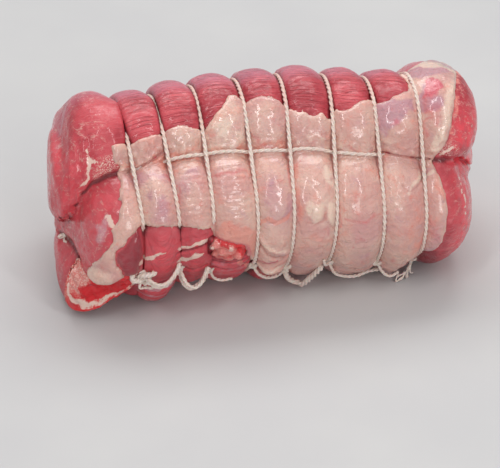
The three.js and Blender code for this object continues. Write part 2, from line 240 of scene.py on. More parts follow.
def skin(station, turn, bite=None):
    # points of the meat: out along each ray, less the trim, settled on the table, less the loops' bite
    y, h = circlePoint(turn, roll["guess"])
    bite = pinchDepth(turn) if bite is None else bite
    for i in range(roll["settles"]):
        ox, way, s, gap, level, isEnd = castRay(station, turn, y, h)
        reach = reachOut(ox, way)
        r = reach - trimmed(ox + reach * way[0], turn) * level
        p = np.stack([ox + r * way[0], r * way[1], sagged(roll["axisHeight"] + r * way[2])], -1)
        lean = ties["lean"] * hill(turnBetween(turn, ties["leanTurn"]), 0, ties["leanSpread"])
        lean = np.where(s < 0.5, -lean, lean)
        free = np.where(isEnd, bulging(fromTie(np.where(station < 0, 0, lastTie), p), ties["endBulge"]),
                        bulging(np.minimum(s, 1 - s) * gap, gap / 2) ** (1 + lean))
        out = np.stack(way, -1)
        p = p - out * (bite * (1 - free) * level)[..., None]
        y, h = np.where(isEnd, y, p[..., 1]), np.where(isEnd, h, p[..., 2] - roll["axisHeight"])
    return p, out, free


def dipBeside(p, turn):
    # how far the fat and the meat under it sink beside the loops: a rounded hollow, in front only
    near = np.min([fromTie(k, p) for k in range(lastTie + 1)], 0)
    inFront = 1 - ramp(turnBetween(turn, ties["dipTurn"]), 48, 70)
    return ties["dip"] * hill(near, 0, ties["dipWidth"]) * inFront


def columnTurns(station, delta):
    # turns measured from the creases, so that a column of points runs down each of them
    near = 0.5 + 0.5 * np.cos(np.radians(delta))
    return (creaseOf(station, 0)[:, None] * near + creaseOf(station, 180)[:, None] * (1 - near)) + delta


# strokes and patches are drawn on the unrolled skin: their points give mm along the roll and degrees of turn

def fromEdge(x, turn, a, b):
    # how far along the edge from a to b the nearest place lies, 0 to 1, and how far off it is
    run = b - a
    s = np.clip(((x - a[0]) * run[0] + (turn - a[1]) * run[1]) / (run @ run), 0, 1)
    return s, np.hypot(x - a[0] - s * run[0], turn - a[1] - s * run[1])


def stroke(x, turn, points, width, soft=0.6):
    # 1 on a line through the points, falling to 0 past half its width; the width may change along it
    points = np.reshape(points, (-1, 2)).astype(float)
    width = np.atleast_1d(width)
    wide = np.interp(np.linspace(0, 1, len(points)), np.linspace(0, 1, len(width)), width) / 2
    best = np.zeros(x.shape)
    for a, b, wa, wb in zip(points[:-1], points[1:], wide[:-1], wide[1:]):
        s, away = fromEdge(x, turn, a, b)
        w = wa + (wb - wa) * s
        best = np.maximum(best, 1 - ramp(away, w * (1 - soft), w * (1 + soft) + 0.01))
    return best


def patchDepth(x, turn, corners):
    # how far inside a closed outline a point lies, less than 0 outside it: it is inside where an odd
    # number of edges passes on its right
    corners = np.reshape(corners, (-1, 2)).astype(float)
    depth, inside = np.full(x.shape, 1e9), np.zeros(x.shape, bool)
    for a, b in zip(corners, np.roll(corners, -1, 0)):
        depth = np.minimum(depth, fromEdge(x, turn, a, b)[1])
        if a[1] != b[1]:
            inside ^= ((a[1] > turn) != (b[1] > turn)) \
                & (x < (b[0] - a[0]) * (turn - a[1]) / (b[1] - a[1]) + a[0])
    return np.where(inside, depth, -depth)


def marked(x, turn, marks, combine=sum):
    # the marks' sum, or another mix of them: each is its share, a line's width and softness or a patch's
    # softness, and its points
    drawn = []
    for share, *how, points in marks:
        if len(how) == 2:
            drawn.append(share * stroke(x, turn, points, *how))
        else:
            drawn.append(share * ramp(patchDepth(x, turn, points), -how[0], how[0]))
    return combine(drawn)


def greatest(values):
    # the greatest of several fields, point by point
    return np.maximum.reduce(list(values))


def toScene(points):
    # millimetres round the roll's middle line to metres in the frame
    return (np.asarray(points, float) - roll["middle"]) * 0.001


def makePiece(name, parts, material, node):
    # one mesh from parts, each of them points, four-sided faces, three-sided faces, a map and named fields
    count = np.cumsum([0] + [len(part["points"]) for part in parts])
    joined = {key: np.concatenate([part[key] + (n if key in ("quads", "fans") else 0)
                                   for part, n in zip(parts, count)])
              for key in ("points", "quads", "fans", "uv")}
    quads, fans = joined["quads"], joined["fans"]
    corners = np.concatenate([quads.ravel(), fans.ravel()]).astype(np.int32)
    starts = np.concatenate([np.arange(len(quads)) * 4, len(quads) * 4 + np.arange(len(fans)) * 3])
    mesh = bpy.data.meshes.new(name)
    mesh.vertices.add(count[-1])
    mesh.vertices.foreach_set("co", toScene(joined["points"]).astype(np.float32).ravel())
    mesh.loops.add(len(corners))
    mesh.loops.foreach_set("vertex_index", corners)
    mesh.polygons.add(len(starts))
    mesh.polygons.foreach_set("loop_start", starts.astype(np.int32))
    mesh.polygons.foreach_set("use_smooth", np.ones(len(starts), bool))
    mesh.update(calc_edges=True)
    lay = mesh.uv_layers.new(name="lay")
    lay.data.foreach_set("uv", joined["uv"].astype(np.float32)[corners].ravel())
    for key in parts[0]["fields"]:
        values = np.concatenate([part["fields"][key] for part in parts])
        mesh.attributes.new(key, "FLOAT", "POINT").data.foreach_set("value", values.astype(np.float32))
    mesh.materials.append(material)
    piece = bpy.data.objects.new(name, mesh)
    bpy.context.scene.collection.objects.link(piece)
    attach(piece, "root")
    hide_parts(node)
    print(name, count[-1], "points", 2 * len(quads) + len(fans), "triangles")
    return piece


def outward(points, quads, fans):
    # the faces of a closed skin, turned round where its volume comes out below 0
    a, b, c, d = (points[quads[:, i]] for i in range(4))
    if (np.cross(b - a, c - a) * a).sum() + (np.cross(c - a, d - a) * a).sum() < 0:
        return quads[:, ::-1], fans[:, ::-1]
    return quads, fans


def mapOf(x, p, closed=True):
    # the piece's own map in metres: x along the roll, and the length round it from its first column
    first = p[:, -1:] if closed else p[:, :1]
    arc = np.cumsum(np.linalg.norm(np.diff(p, axis=1, prepend=first), axis=-1), axis=1)
    return np.stack([x, arc], -1) * 0.001


def shellOf(p, uv, fields, ring=False):
    # a closed skin from a grid round an axis: its rows joined in a ring, or each end drawn to one point
    rows, columns = p.shape[:2]
    r, c = np.meshgrid(np.arange(rows if ring else rows - 3), np.arange(columns), indexing="ij")
    d = (c + 1) % columns
    quads = np.stack([r * columns + c, (r + 1) * columns + c, (r + 1) * columns + d, r * columns + d], -1)
    quads = quads.reshape(-1, 4)
    points = p.reshape(-1, 3)
    keep = slice(0, None)
    if ring:
        quads, fans = quads % (rows * columns), np.zeros((0, 3), int)
    else:
        keep = slice(columns - 1, (rows - 1) * columns + 1)
        points[columns - 1], points[(rows - 1) * columns] = p[0].mean(0), p[-1].mean(0)
        c, d = c[0], d[0]
        last = (rows - 2) * columns + 1
        quads = 1 + quads
        fans = np.concatenate([np.stack([0 * c, 1 + c, 1 + d], -1),
                               np.stack([last - columns + c, last + 0 * c, last - columns + d], -1)])
    quads, fans = outward(points[keep], quads, fans)
    return {"points": points[keep], "quads": quads, "fans": fans, "uv": uv.reshape(-1, 2)[keep],
            "fields": {k: np.broadcast_to(v, p.shape[:2]).reshape(-1)[keep] for k, v in fields.items()}}


def cellCorners(grid):
    # the values at the four corners of each cell of a grid
    return np.stack([grid[:-1, :-1], grid[1:, :-1], grid[1:, 1:], grid[:-1, 1:]], -1)


def sheetOf(front, back, rim, kept, uv, fields):
    # a closed sheet: the kept cells of a grid in front, and the same cells of its copy behind, turned
    # round, the two sharing the points on the rim
    top = cellCorners(np.arange(rim.size).reshape(rim.shape))[kept].reshape(-1, 4)
    quads = np.concatenate([top, np.where(rim.ravel()[top], top, top + rim.size)[:, ::-1]])
    used = np.unique(quads)
    renumber = np.zeros(2 * rim.size, int)
    renumber[used] = np.arange(len(used))
    points = np.concatenate([front.reshape(-1, 3), back.reshape(-1, 3)])[used]
    quads, fans = outward(points, renumber[quads], np.zeros((0, 3), int))
    return {"points": points, "quads": quads, "fans": fans, "uv": np.concatenate([uv.reshape(-1, 2)] * 2)[used],
            "fields": {k: np.tile(np.broadcast_to(v, rim.shape).ravel(), 2)[used] for k, v in fields.items()}}


def eased(q, closed, times):
    # each point moved halfway to the mean of its neighbours, again and again
    for i in range(times):
        if closed:
            q = (np.roll(q, 1, 0) + 2 * q + np.roll(q, -1, 0)) / 4
        else:
            q = np.concatenate([q[:1], (q[:-2] + 2 * q[1:-1] + q[2:]) / 4, q[-1:]])
    return q


def spreadOut(table, at, times):
    # each column of a table, its rows spread evenly from 0 to 1, read at these places and eased
    even = np.linspace(0, 1, len(table))
    return [eased(np.interp(at, even, column)[:, None], False, times) for column in np.array(table, float).T]


def normalsOf(p, closed, out=None):
    # the way out of a grid of points: its two directions crossed, and turned to the side of the rays
    across = (np.roll(p, -1, 1) - np.roll(p, 1, 1)) / 2 if closed else np.gradient(p, axis=1)
    n = np.cross(np.gradient(p, axis=0), across)
    n = n / np.maximum(np.linalg.norm(n, axis=-1, keepdims=True), 1e-9)
    return n if out is None else np.where(((n * out).sum(-1) < 0)[..., None], -n, n)


def bayStations(steps, left, right, leftMost=1.0, rightMost=1.0):
    # rows of the grid, crowded towards the loops and at the tips of the ends
    t = np.linspace(0, 1, steps + 1)[:-1]
    inBay = t - 0.11 * np.sin(2 * np.pi * t)
    bays = np.concatenate([k + inBay for k in range(lastTie)])
    a = leftMost * np.linspace(0, 1, left + 1)[1:] ** 1.25
    b = rightMost * np.linspace(0, 1, right + 1)[1:] ** 1.25
    return np.concatenate([-a[::-1], bays, [lastTie], lastTie + b])


def crowded(columns, low, high, weight):
    # columns from low to high, closer together where the weight is greater
    d = np.linspace(low, high, 2000)
    total = np.concatenate([[0], np.cumsum(weight((d[1:] + d[:-1]) / 2))])
    return np.interp(np.linspace(0, total[-1], columns), total, d)


fat = {
    # its outline on the unrolled skin, from the upper left corner
    "outline": (
        (-88.5, 57), (-87.5, 60.5), (-80, 61.5), (-78.8, 60), (-72, 62.6), (-66, 63.4), (-59.5, 65),
        (-57, 66.2), (-48, 67.2), (-40, 66), (-34.5, 64.6), (-30, 69), (-25, 73), (-19, 80.3),
        (-14.5, 81.8), (-11.6, 79), (-10.6, 76), (-6, 77.6), (0, 78), (6, 76.4), (11.4, 73), (15, 70.4),
        (19, 67.4), (24, 66.4), (28, 64), (32, 65.8), (36, 62.4), (38.4, 65.4), (41, 66.8), (45, 65.7),
        (50, 66.4), (55, 68.6), (59, 71), (62.6, 71.6), (64.6, 69.4), (67, 68), (71.5, 68.2), (77, 70),
        (81, 72), (84, 74.5), (85.6, 82), (83.6, 90), (86, 95), (96, 99), (108, 103), (116, 108),
        (118.4, 100), (117.6, 90), (114.6, 80), (110.8, 70), (107.6, 60), (104.4, 50), (101.8, 43),
        (99, 38.6), (95.4, 35.2), (93.2, 31.6), (94.6, 26), (96.2, 20), (97.7, 12), (98.1, 4),
        (97.2, -4), (95.6, -13), (93.4, -18.5), (89, -23), (84, -25.5), (78.4, -27.5), (75, -36),
        (73, -46), (70, -58), (50, -60), (30, -57), (22, -52), (8, -41), (4, -33), (-6, -29),
        (-13, -20.5), (-16, -14), (-19.6, -2.6), (-25, -0.6), (-29.2, 0.4), (-34, 2.6), (-36.9, 4.6),
        (-38.4, 8.6), (-46, 10), (-58, 12), (-68, 12.9), (-76.6, 13.6), (-79.6, 11.6), (-83, 9),
        (-87, 4.9), (-91.4, 1.6), (-92.3, -2.6), (-90.6, -6.6), (-88.4, -10.4), (-87.4, -14.6),
        (-93, -18.8), (-98.5, -21.4), (-103.4, -22.6), (-106.4, -20.6), (-106.6, -16.4), (-105, -12.4),
        (-102.6, -7.6), (-100, -3), (-96, 2.4), (-93.2, 8), (-92.6, 13), (-90.4, 16.4), (-87.9, 20.4),
        (-86.4, 28), (-85.4, 38), (-86.6, 45.4), (-84.2, 48.5), (-87.4, 51.6)),
    "ragged": 0.9, "raggedWide": 6,     # how far its cut edge wanders, and the strip that wanders with it
    "thick": 1.9, "edge": 2.6, "tuck": 0.9,     # its thickness, its rounded edge and its tucked-in lip
}


def fatInside(x, turn):
    # how far inside the fat's edge a point of the skin lies, in mm; the turn runs from -180 to 180
    depth = patchDepth(x, turn, fat["outline"])
    near = hill(depth, 0, fat["raggedWide"]) * (1 - 0.75 * ramp(x, 84, 94))
    rough = flatNoise(x, turn, 3.1, 3.1, 5) * 0.7 + flatNoise(x, turn, 1.3, 1.3, 6) * 0.35
    return depth + near * fat["ragged"] * rough


flap = {
    "rows": 120, "columns": 64,
    # from the left corner to the right: station and turn of the upper edge, station and turn of the rim
    "sections": (
        (-0.43, -19.5, -0.435, -20.5), (-0.41, -20.6, -0.442, -24.5), (-0.38, -22, -0.438, -29.5),
        (-0.35, -23, -0.425, -36.5), (-0.325, -23.6, -0.4, -43), (-0.295, -24, -0.35, -46.6),
        (-0.265, -24, -0.295, -42.4), (-0.235, -23.6, -0.245, -38.5), (-0.205, -21.5, -0.205, -36.2),
        (-0.17, -18, -0.165, -34), (-0.13, -14.4, -0.13, -31.2), (-0.095, -14, -0.095, -28),
        (-0.06, -14, -0.06, -24), (-0.03, -15.4, -0.03, -18)),
    "stationWide": 66,              # a station's width at this end in mm, to draw the outline in
    # its section from the upper edge over the face and the rim, and back under: place across, place past
    # the rim, lift
    "profile": (
        (0, 0, -2.4), (0.04, 0, -0.8), (0.10, 0, -0.1), (0.3, 0, -0.6), (0.55, 0, -0.9), (0.8, 0, -0.5),
        (0.93, 0, 0.7), (1, -0.4, 1.9), (1, 0.5, 2.1), (1, 1.3, 1.5), (1, 1.6, 0.3), (1, 1.1, -1.4),
        (1, -0.4, -3.4), (1, -3, -6.0)),
    "rimAt": 0.53,                  # the share of its columns that lie before the rim
    # its white band: place along the flap, and its distance from the rim and half its width in mm
    "bandOff": ((0, 0.6), (0.25, 0.7), (0.385, 7.0), (0.47, 3.6), (0.6, 2.0), (0.75, 0.9), (1, 0.2)),
    "bandHalf": ((0, 0.3), (0.25, 0.6), (0.385, 3.6), (0.47, 3.2), (0.6, 2.4), (0.75, 1.5), (1, 0.5)),
    "thick": 0.9,
}

meat = {
    "bayRows": 25, "leftRows": 62, "rightRows": 48, "columns": 338,
    "arch": 6.0,                    # how far a wrinkle's middle stands over its ends, in degrees
    "folds": ((6.8, 0.44, 11), (3.3, 0.42, 12)),    # pitch in degrees, height in mm, seed
    # x, turn, their spreads, height
    "swells": ((-100, 103, 13, 32, 5.2), (-121, 84, 12, 36, -5.6), (120, 84, 9, 26, 1.6)),
    # both ends filled or hollowed: side, x where it is full, height, y, z and their spreads
    "fills": ((-1, 110, 5.0, -8, 42, 17, 12), (-1, 112, 2.6, -21, 58, 12, 11), (1, 112, -4.5, -28, 73, 20, 10)),
    "creaseCut": 1.5,               # the extra depth of the crease between the two muscles
    # the first bites close over their string, down to a thin cleft: how much of each, on top and in front
    "closed": ((0, 0.75, 0.86), (1, 0.42, 0.86), (2, 0.25, 0.86)),
    "underSwell": ((3.6, 6, (-79, -29, -60, -29, -59, -56, -79, -56)),),
    "lump": (-37.6, 2.2, -32.5, 3.8, -25.7, 2.4, -19, -1, -18.2, -6, -21.8, -10.5, -29, -10.8, -34.4, -9.6,
             -37.6, -5),
    "lumpRise": 2.7, "clotRise": 2.4, "flapCut": 3.4, "rimCut": 8.5, "cleftCut": 1.5, "slotCut": 1.3,
    "tongueRise": 1.6, "rightCut": 1.2,
    "rim": ((-117, -31), (-112, -38), (-103.6, -35), (-93.4, -32.6), (-86, -27.6), (-82, -22)),     # x and turn
    # in y and z: from the knot to the flap, and the shadow beside it
    "endCleft": ((1, (5, 5, 3), 0.9, (-17, 38.5, -23, 40.2, -30, 40.6, -36, 39.4, -42, 37.2)),),
    "endShade": ((0.55, (1.4, 2.4, 3.4), 0.9, (-30, 57, -22, 48, -17, 38)),),
    "redTongue": (-77.6, 13.4, -82.6, 9.6, -87, 4.6, -91.6, 1, -92, -3, -89, -9, -86.8, -14.2, -81.5, -14.6,
                  -78.4, -12, -76.8, 0),
    "rightFold": ((1, (2, 3), 0.6, (97, 35, 103.8, 29, 110.2, 27.6, 118, 25)),),
    "slots": (                      # the folds under the fat's front edge
        (1, 1.4, 0.6, (-57.6, -3.4, -50, -1.6, -40.6, 1)), (0.4, 1, 0.6, (-57, 4, -49, 6, -40, 6)),
        (1.3, 2.2, 0.6, (-79, -24, -70, -27, -60, -24, -57, -21)),
        (1, 1.6, 0.6, (-36, -13, -27, -15.5, -18, -13)), (1, 1.6, 0.6, (-36, -19, -26, -22, -16, -18)),
        (1, 1.4, 0.6, (-57, -14, -48, -18, -40, -15))),
    # what the finish is told, each a field of marks
    "pale": (
        (0.8, (0.7, 2.4, 1.6, 1.8), 0.9, (-101.8, 60, -100.2, 54, -100.8, 48, -104.4, 40)),
        (0.8, (1.8, 1), 0.9, (-100.2, 53, -96, 52.5, -92, 50.5)),
        (0.5, (0.6, 1, 0.6), 0.9, (-101.8, 60, -97.5, 61.6, -92.5, 60.6)),
        (0.78, (3.8, 2.8, 1.2), 0.6, (-77.5, -6, -72.5, -4, -67.6, -2, -62.9, 0)),
        (0.85, 1.8, 0.6, (-56.5, -1, -49.4, 0.4, -43.2, 2.4, -40.7, 3.6)),
        (0.8, (4.2, 3, 1), 0.6, (-56, -8.4, -52.1, -8.6, -47.1, -5, -43.5, -4)),
        (0.9, (0.8, 1.3, 0.6), 0.6, (108.5, 19, 109.6, 12, 110.4, 4, 111, -3)),
        (0.8, (1.6, 2.2, 0.8), 0.6, (97.6, 35.4, 101.7, 36.6, 105.8, 40.4)),
        (1, 2.6, 0.6, (-93.8, 19, -92, 17, -92.4, 14.6))),
    "grains": (
        (1, 2.6, (-99, 46, -97, 51, -91, 54, -86.5, 54.5, -84.5, 49, -89, 45.6, -95, 43.6, -100, 42)),
        (0.7, 2.4, (92, 37, 97, 40, 103, 43, 108, 40, 109, 33, 103, 33, 97, 35))),
    "silverAndSheen": (
        (0.75, 2.2, (-103, 4, -101.4, 13, -97.7, 18, -94, 21, -91.6, 17, -95.6, 10, -99, 4)),
        # the next two are painted sheen: along the left end's edge, and a paler patch on its top
        (0.38, 7, 0.9, (-122, 50, -120, 72, -114, 90, -104, 102, -92, 108)),
        (0.6, (4, 7, 5), 0.9, (-101, 115, -95, 109, -88, 100)),
        (0.9, 3, (72, -50, 78, -42, 92, -44, 96, -56, 84, -62))),
    "bands": (                      # silver in bands, on the rolls of meat under the front
        (0.8, 2.5, (-82, -27, -79, -24, -66, -28, -57, -22, -53, -30, -60, -48, -78, -50)),
        (0.5, 2.5, (-38, -12, -28, -12, -16, -14, -13, -24, -16, -44, -38, -40))),
    "freshLump": ((1.3, 4.6, 0.6, (-31, 3.4, -23.2, 1.4, -20.2, -2.4, -19.6, -7)),),
    "fresh": ((0.5, 3, 0.6, (-20, -20, -11, -33, 4, -30)),),
    "warm": ((1, (2.6, 3.2), 0.6, (-22.4, -13.4, -16, -22, -11.3, -31.4, -3.1, -32.4, 5, -31)),),
    "darkAndShade": (
        (0.6, 2, (99, 34, 104, 30, 119, 27, 122, 36, 112, 40, 104, 38)),
        (0.75, 3, (74, -25, 94, -19, 100, -50, 72, -54))),
}


def underFlap(station, turn):
    # how far inside the flap's outline a place lies, in mm
    table = np.array(flap["sections"], float)
    corners = np.concatenate([table[:, :2], table[::-1, 2:4]]) * (flap["stationWide"], 1)
    return patchDepth(station * flap["stationWide"], turn, corners)


def foldField(x, turn, station, isEnd):
    # wrinkles running from loop to loop, arched in the middle of each bay: rounded ridges, sharp valleys,
    # where the sine of the wandering turn over the pitch passes 0
    s = np.clip(station, 0, lastTie) % 1.0
    line = turn - np.where(isEnd, 0, meat["arch"] * 4 * s * (1 - s)) * np.where(turn > 20, 1, -1)
    total = 0.0
    for pitch, high, seed in meat["folds"]:
        u = line / pitch + 0.8 * flatNoise(x, turn, 34, 20, seed) + 0.12 * flatNoise(x, turn, 9, 5, seed + 20)
        ridge = np.abs(np.sin(np.pi * u)) ** 0.8 - 0.68
        total = total + high * ridge * (0.7 + 0.4 * flatNoise(x, turn, 18, 8, seed + 40))
    return total


def meatRelief(at):
    # how far each point of the skin is lifted in mm: wrinkles, less the hollows beside the loops and the
    # creases, then swells, closed bites, the lump, the bed of the flap and the folds under the front edge
    x, y, z, turn, free, isEnd, outside = at.x, at.y, at.z, at.turn, at.free, at.isEnd, at.outside
    topFolds = ramp(turn, 58, 70) * (1 - ramp(turn, 168, 178)) \
        + ramp(-turn, 120, 135) * (1 - ramp(-turn, 170, 178)) * 0.7
    frontFolds = ramp(-turn, -14, 0) * (1 - ramp(-turn, 80, 95)) * 0.8
    at.strong = np.where(isEnd, 0.30 * outside, 1.0) * (topFolds + frontFolds) * (0.6 + 0.4 * free)
    at.fold = foldField(x, turn, at.station, isEnd) * at.strong * at.bare * at.low
    lift = at.fold - dipBeside(at.p, turn)

    fromCrease = turn - creaseTurn(x)
    at.crease = hill(fromCrease, 0, 2.1) * ramp(free, 0.1, 0.6)
    at.rear = hill(turnBetween(turn, creaseTurn(x) + 180), 0, 2.4)
    deeper = at.crease * at.bare * ramp(x, -108, -96) * (1 + 1.3 * ramp(x, 100, 114))
    lift = lift - meat["creaseCut"] * (deeper + at.rear)
    for middle, middleTurn, wide, wideTurn, high in meat["swells"]:
        swell = np.exp(-((x - middle) / wide) ** 2 - ((turn - middleTurn) / wideTurn) ** 2)
        lift = lift + high * swell * outside * (0.25 + 0.75 * free)
    for side, full, high, middleY, middleZ, wideY, wideZ in meat["fills"]:
        swell = np.exp(-((y - middleY) / wideY) ** 2 - ((z - middleZ) / wideZ) ** 2) * ramp(side * x, 104, full)
        lift = lift + high * swell * (1 - hill(fromCrease, 0, 12) if side < 0 else 1)
    for k, top, front in meat["closed"]:
        away = fromTie(k, at.p)
        where = top * ramp(turn, 60, 68) * (1 - ramp(turn, 84, 100)) \
            + front * ramp(-turn, -14, -9) * (1 - ramp(-turn, 40, 50))
        filled = at.bite * (1 - free) * where * at.bare
        lift = lift + filled * (1 - hill(away, 0, np.where(turn < 40, 0.5, 1.1))) * (1 - ramp(away, 8, 12))
    lift = lift + marked(x, turn, meat["underSwell"]) * free ** 0.5
    lift = lift + 0.28 * layered(x / 9, y / 9, z / 9, 31) * at.low * at.bare * np.where(isEnd, 1.3, 0.6)

    at.lump = patchDepth(x, turn, meat["lump"])
    at.onLump = ramp(at.lump, -1.0, 1.6)
    at.clots = flatNoise(x, turn, 4.6, 3.8, 61, 2)
    clotted = meat["lumpRise"] + meat["clotRise"] * np.abs(at.clots) ** 0.7 * np.sign(at.clots)
    lift = lift + at.onLump * clotted - 1.5 * hill(at.lump, -1.6, 1.0)
    lift = lift - meat["flapCut"] * ramp(underFlap(at.station, turn), -0.3, 2.2) * isEnd
    at.below = np.interp(x, *np.array(meat["rim"]).T) - turn
    underRim = ramp(at.below, 1.0, 6) * (1 - ramp(at.below, 20, 42))
    lift = lift - meat["rimCut"] * underRim * ramp(x, -113, -106) * (1 - ramp(x, -82, -78)) * outside
    at.cleft = marked(y, z, meat["endCleft"]) * ramp(-x, 100, 106)
    lift = lift - meat["cleftCut"] * at.cleft
    at.tongue = patchDepth(x, turn, meat["redTongue"])
    lift = lift + ramp(at.tongue, -0.6, 3.4) * meat["tongueRise"]
    at.slots = marked(x, turn, meat["slots"])
    lift = lift - meat["slotCut"] * at.slots * at.low * at.bare
    lift = lift - meat["rightCut"] * marked(x, turn, meat["rightFold"])
    return np.where(at.under > 1.5, np.minimum(lift, 0), lift)


def meatFields(at):
    # what the finish is told at each point, 0 to 1: the marks wander a little by noise, and each field is
    # the sum or the greatest of its marks and of what the shape itself gives
    y, z, free, isEnd, outside, onLump = at.y, at.z, at.free, at.isEnd, at.outside, at.onLump
    x, turn = at.x, at.turn
    x = x + 1.0 * flatNoise(x, turn, 3.4, 3.4, 141) + 0.5 * flatNoise(x, turn, 1.5, 1.5, 142)
    turn = turn + 1.0 * flatNoise(x, turn, 3.4, 3.4, 143) + 0.5 * flatNoise(x, turn, 1.5, 1.5, 144)
    lowBays = ramp(-turn, -12, -4) * (1 - ramp(-turn, 50, 80)) * ramp(-x, 10, 20)
    inBed = (1 - ramp(free, 0.0, 0.75)) * np.where(isEnd, 0.0, 1 - 0.72 * lowBays) \
        + np.where(isEnd, (1 - ramp(free, 0.0, 0.40)) * 0.8, 0)
    underRim = ramp(at.below, 2, 6) * (1 - ramp(at.below, 14, 26)) \
        * ramp(x, -113, -106) * (1 - ramp(x, -86, -80))
    # painted shade: darker in the strings' beds, the creases, the folds under the front edge, the end cleft and
    # the strip beside it, under the flap's rim and round the foot of the lump
    grooveShade = greatest((
        inBed, at.crease * (1 - 0.6 * ramp(x, 98, 108)), at.rear, np.clip(at.slots, 0, 1) * 0.8, at.cleft,
        marked(y, z, meat["endShade"]) * ramp(-x, 98, 104), underRim * outside * 0.6,
        ramp(at.lump, -4.2, -1.4) * (1 - ramp(at.lump, -1.0, 0.2)) * 0.8))
    pale = np.maximum(marked(x, turn, meat["pale"], greatest), onLump * ramp(at.clots, -0.1, 0.6) * 0.62)
    grains = np.maximum(marked(x, turn, meat["grains"], greatest), onLump * 0.25)
    bands = ramp(np.sin(turn / 1.3 + 2 * flatNoise(x, turn, 9, 7, 81)), 0.2, 0.9)
    silverAndSheen = marked(x, turn, meat["silverAndSheen"]) + marked(x, turn, meat["bands"]) * bands \
        + 0.75 * ramp(layered(x / 22, y / 20, z / 20, 151, 4), 0.10, 0.62) * ramp(y, 12, 32)
    fresh = onLump * (0.2 + ramp(-at.clots, 0.1, 0.6) * 0.5 + marked(x, turn, meat["freshLump"])) \
        + marked(x, turn, meat["fresh"])
    byFat = ramp(at.under, -5.5, -0.5) * ramp(x, 99, 103) * ramp(turn, 34, 40)
    warm = greatest((onLump * 1.2, marked(x, turn, meat["warm"]),
                     byFat * (0.45 + 0.5 * ramp(flatNoise(x, turn, 2.2, 7, 161, 2), -0.2, 0.5))))
    # darker in the given patches and on the dark red tongue, and painted shade towards the table, most at the
    # left end
    darkAndShade = marked(x, turn, meat["darkAndShade"]) + 0.75 * ramp(at.tongue, -0.5, 1.0) \
        + 0.55 * (1 - ramp(z, 8, 22)) * np.where(x < -84, 1, 0.25)
    # painted sheen: a lilac pink along the top of the roll, fainter on the ends
    paintedSheen = ramp(turn, 84, 98) * (1 - ramp(turn, 108, 140)) * np.where(isEnd, 0.5 * outside, 0.8)
    rosy = 0.5 * ramp(-x, 86, 96) * (1 - ramp(z, 88, 108)) \
        + 0.6 * ramp(-turn, -16, 0) * (1 - ramp(-turn, 50, 80)) * (1 - isEnd) \
        + ramp(x, 98, 110) * (1 - ramp(z, 92, 112))
    # the wrinkles' height and where they lie go to the finish, which paints highlight on their ridges and shade
    # in their valleys
    return {"fold": np.clip(0.5 + at.fold, 0, 1), "grooveShade": grooveShade, "pale": pale, "grains": grains,
            "silverAndSheen": np.clip(silverAndSheen, 0, 1), "fresh": np.clip(fresh, 0, 1), "warm": warm,
            "darkAndShade": np.clip(darkAndShade, 0, 1), "face": np.where(isEnd, ramp(-x, 84, 96) + ramp(x, 96, 106), 0),
            "paintedSheen": paintedSheen, "back": ramp(y, 4, 24) * at.bare,
            "crinkle": at.strong * at.bare * (0.35 + 0.65 * free) * (1 - 0.3 * lowBays),
            "rosy": np.clip(rosy, 0, 1)}


def columnWeight(delta):
    # how close the meat's columns stand: most in the creases, on the front bays and on the cut face
    return 1 + 0.9 * hill(turnBetween(delta, 0), 0, 7) + 0.5 * hill(turnBetween(delta, 180), 0, 7) \
        + 0.75 * ramp(delta, 10, 18) * (1 - ramp(delta, 85, 100)) + 0.65 * ramp(turnBetween(delta, -60), 33, 25)


def makeMeat(material):
    # the whole skin, each point lifted along its normal by the relief
    station = bayStations(meat["bayRows"], meat["leftRows"], meat["rightRows"])
    delta = crowded(meat["columns"] + 1, 0, 360, columnWeight)[:-1]
    turns = columnTurns(station, delta)
    grid = np.repeat(station[:, None], len(delta), 1)
    p, out, free = skin(grid, turns)
    n = normalsOf(p, True, out)
    n[0], n[-1] = out[0], out[-1]
    x, y, z = np.moveaxis(p, -1, 0)
    under = fatInside(x, signedTurn(turns))
    at = SimpleNamespace(
        p=p, station=grid, x=x, y=y, z=z, turn=signedTurn(turns), free=free, bite=pinchDepth(turns),
        under=under, bare=1 - ramp(under, -0.5, 1.5), isEnd=(grid < 0) | (grid > lastTie),
        low=ramp(z, 2, 16),         # the flat underside stays plain
        outside=ramp(np.hypot(y, z - roll["axisHeight"]), 37, 43))      # off the cleft in the end
    raised = p + n * meatRelief(at)[..., None]
    raised[..., 2] = np.maximum(raised[..., 2], 0.05)
    part = shellOf(raised, mapOf(x, raised), meatFields(at))
    return makePiece("meatBody", [part], material, "meat")


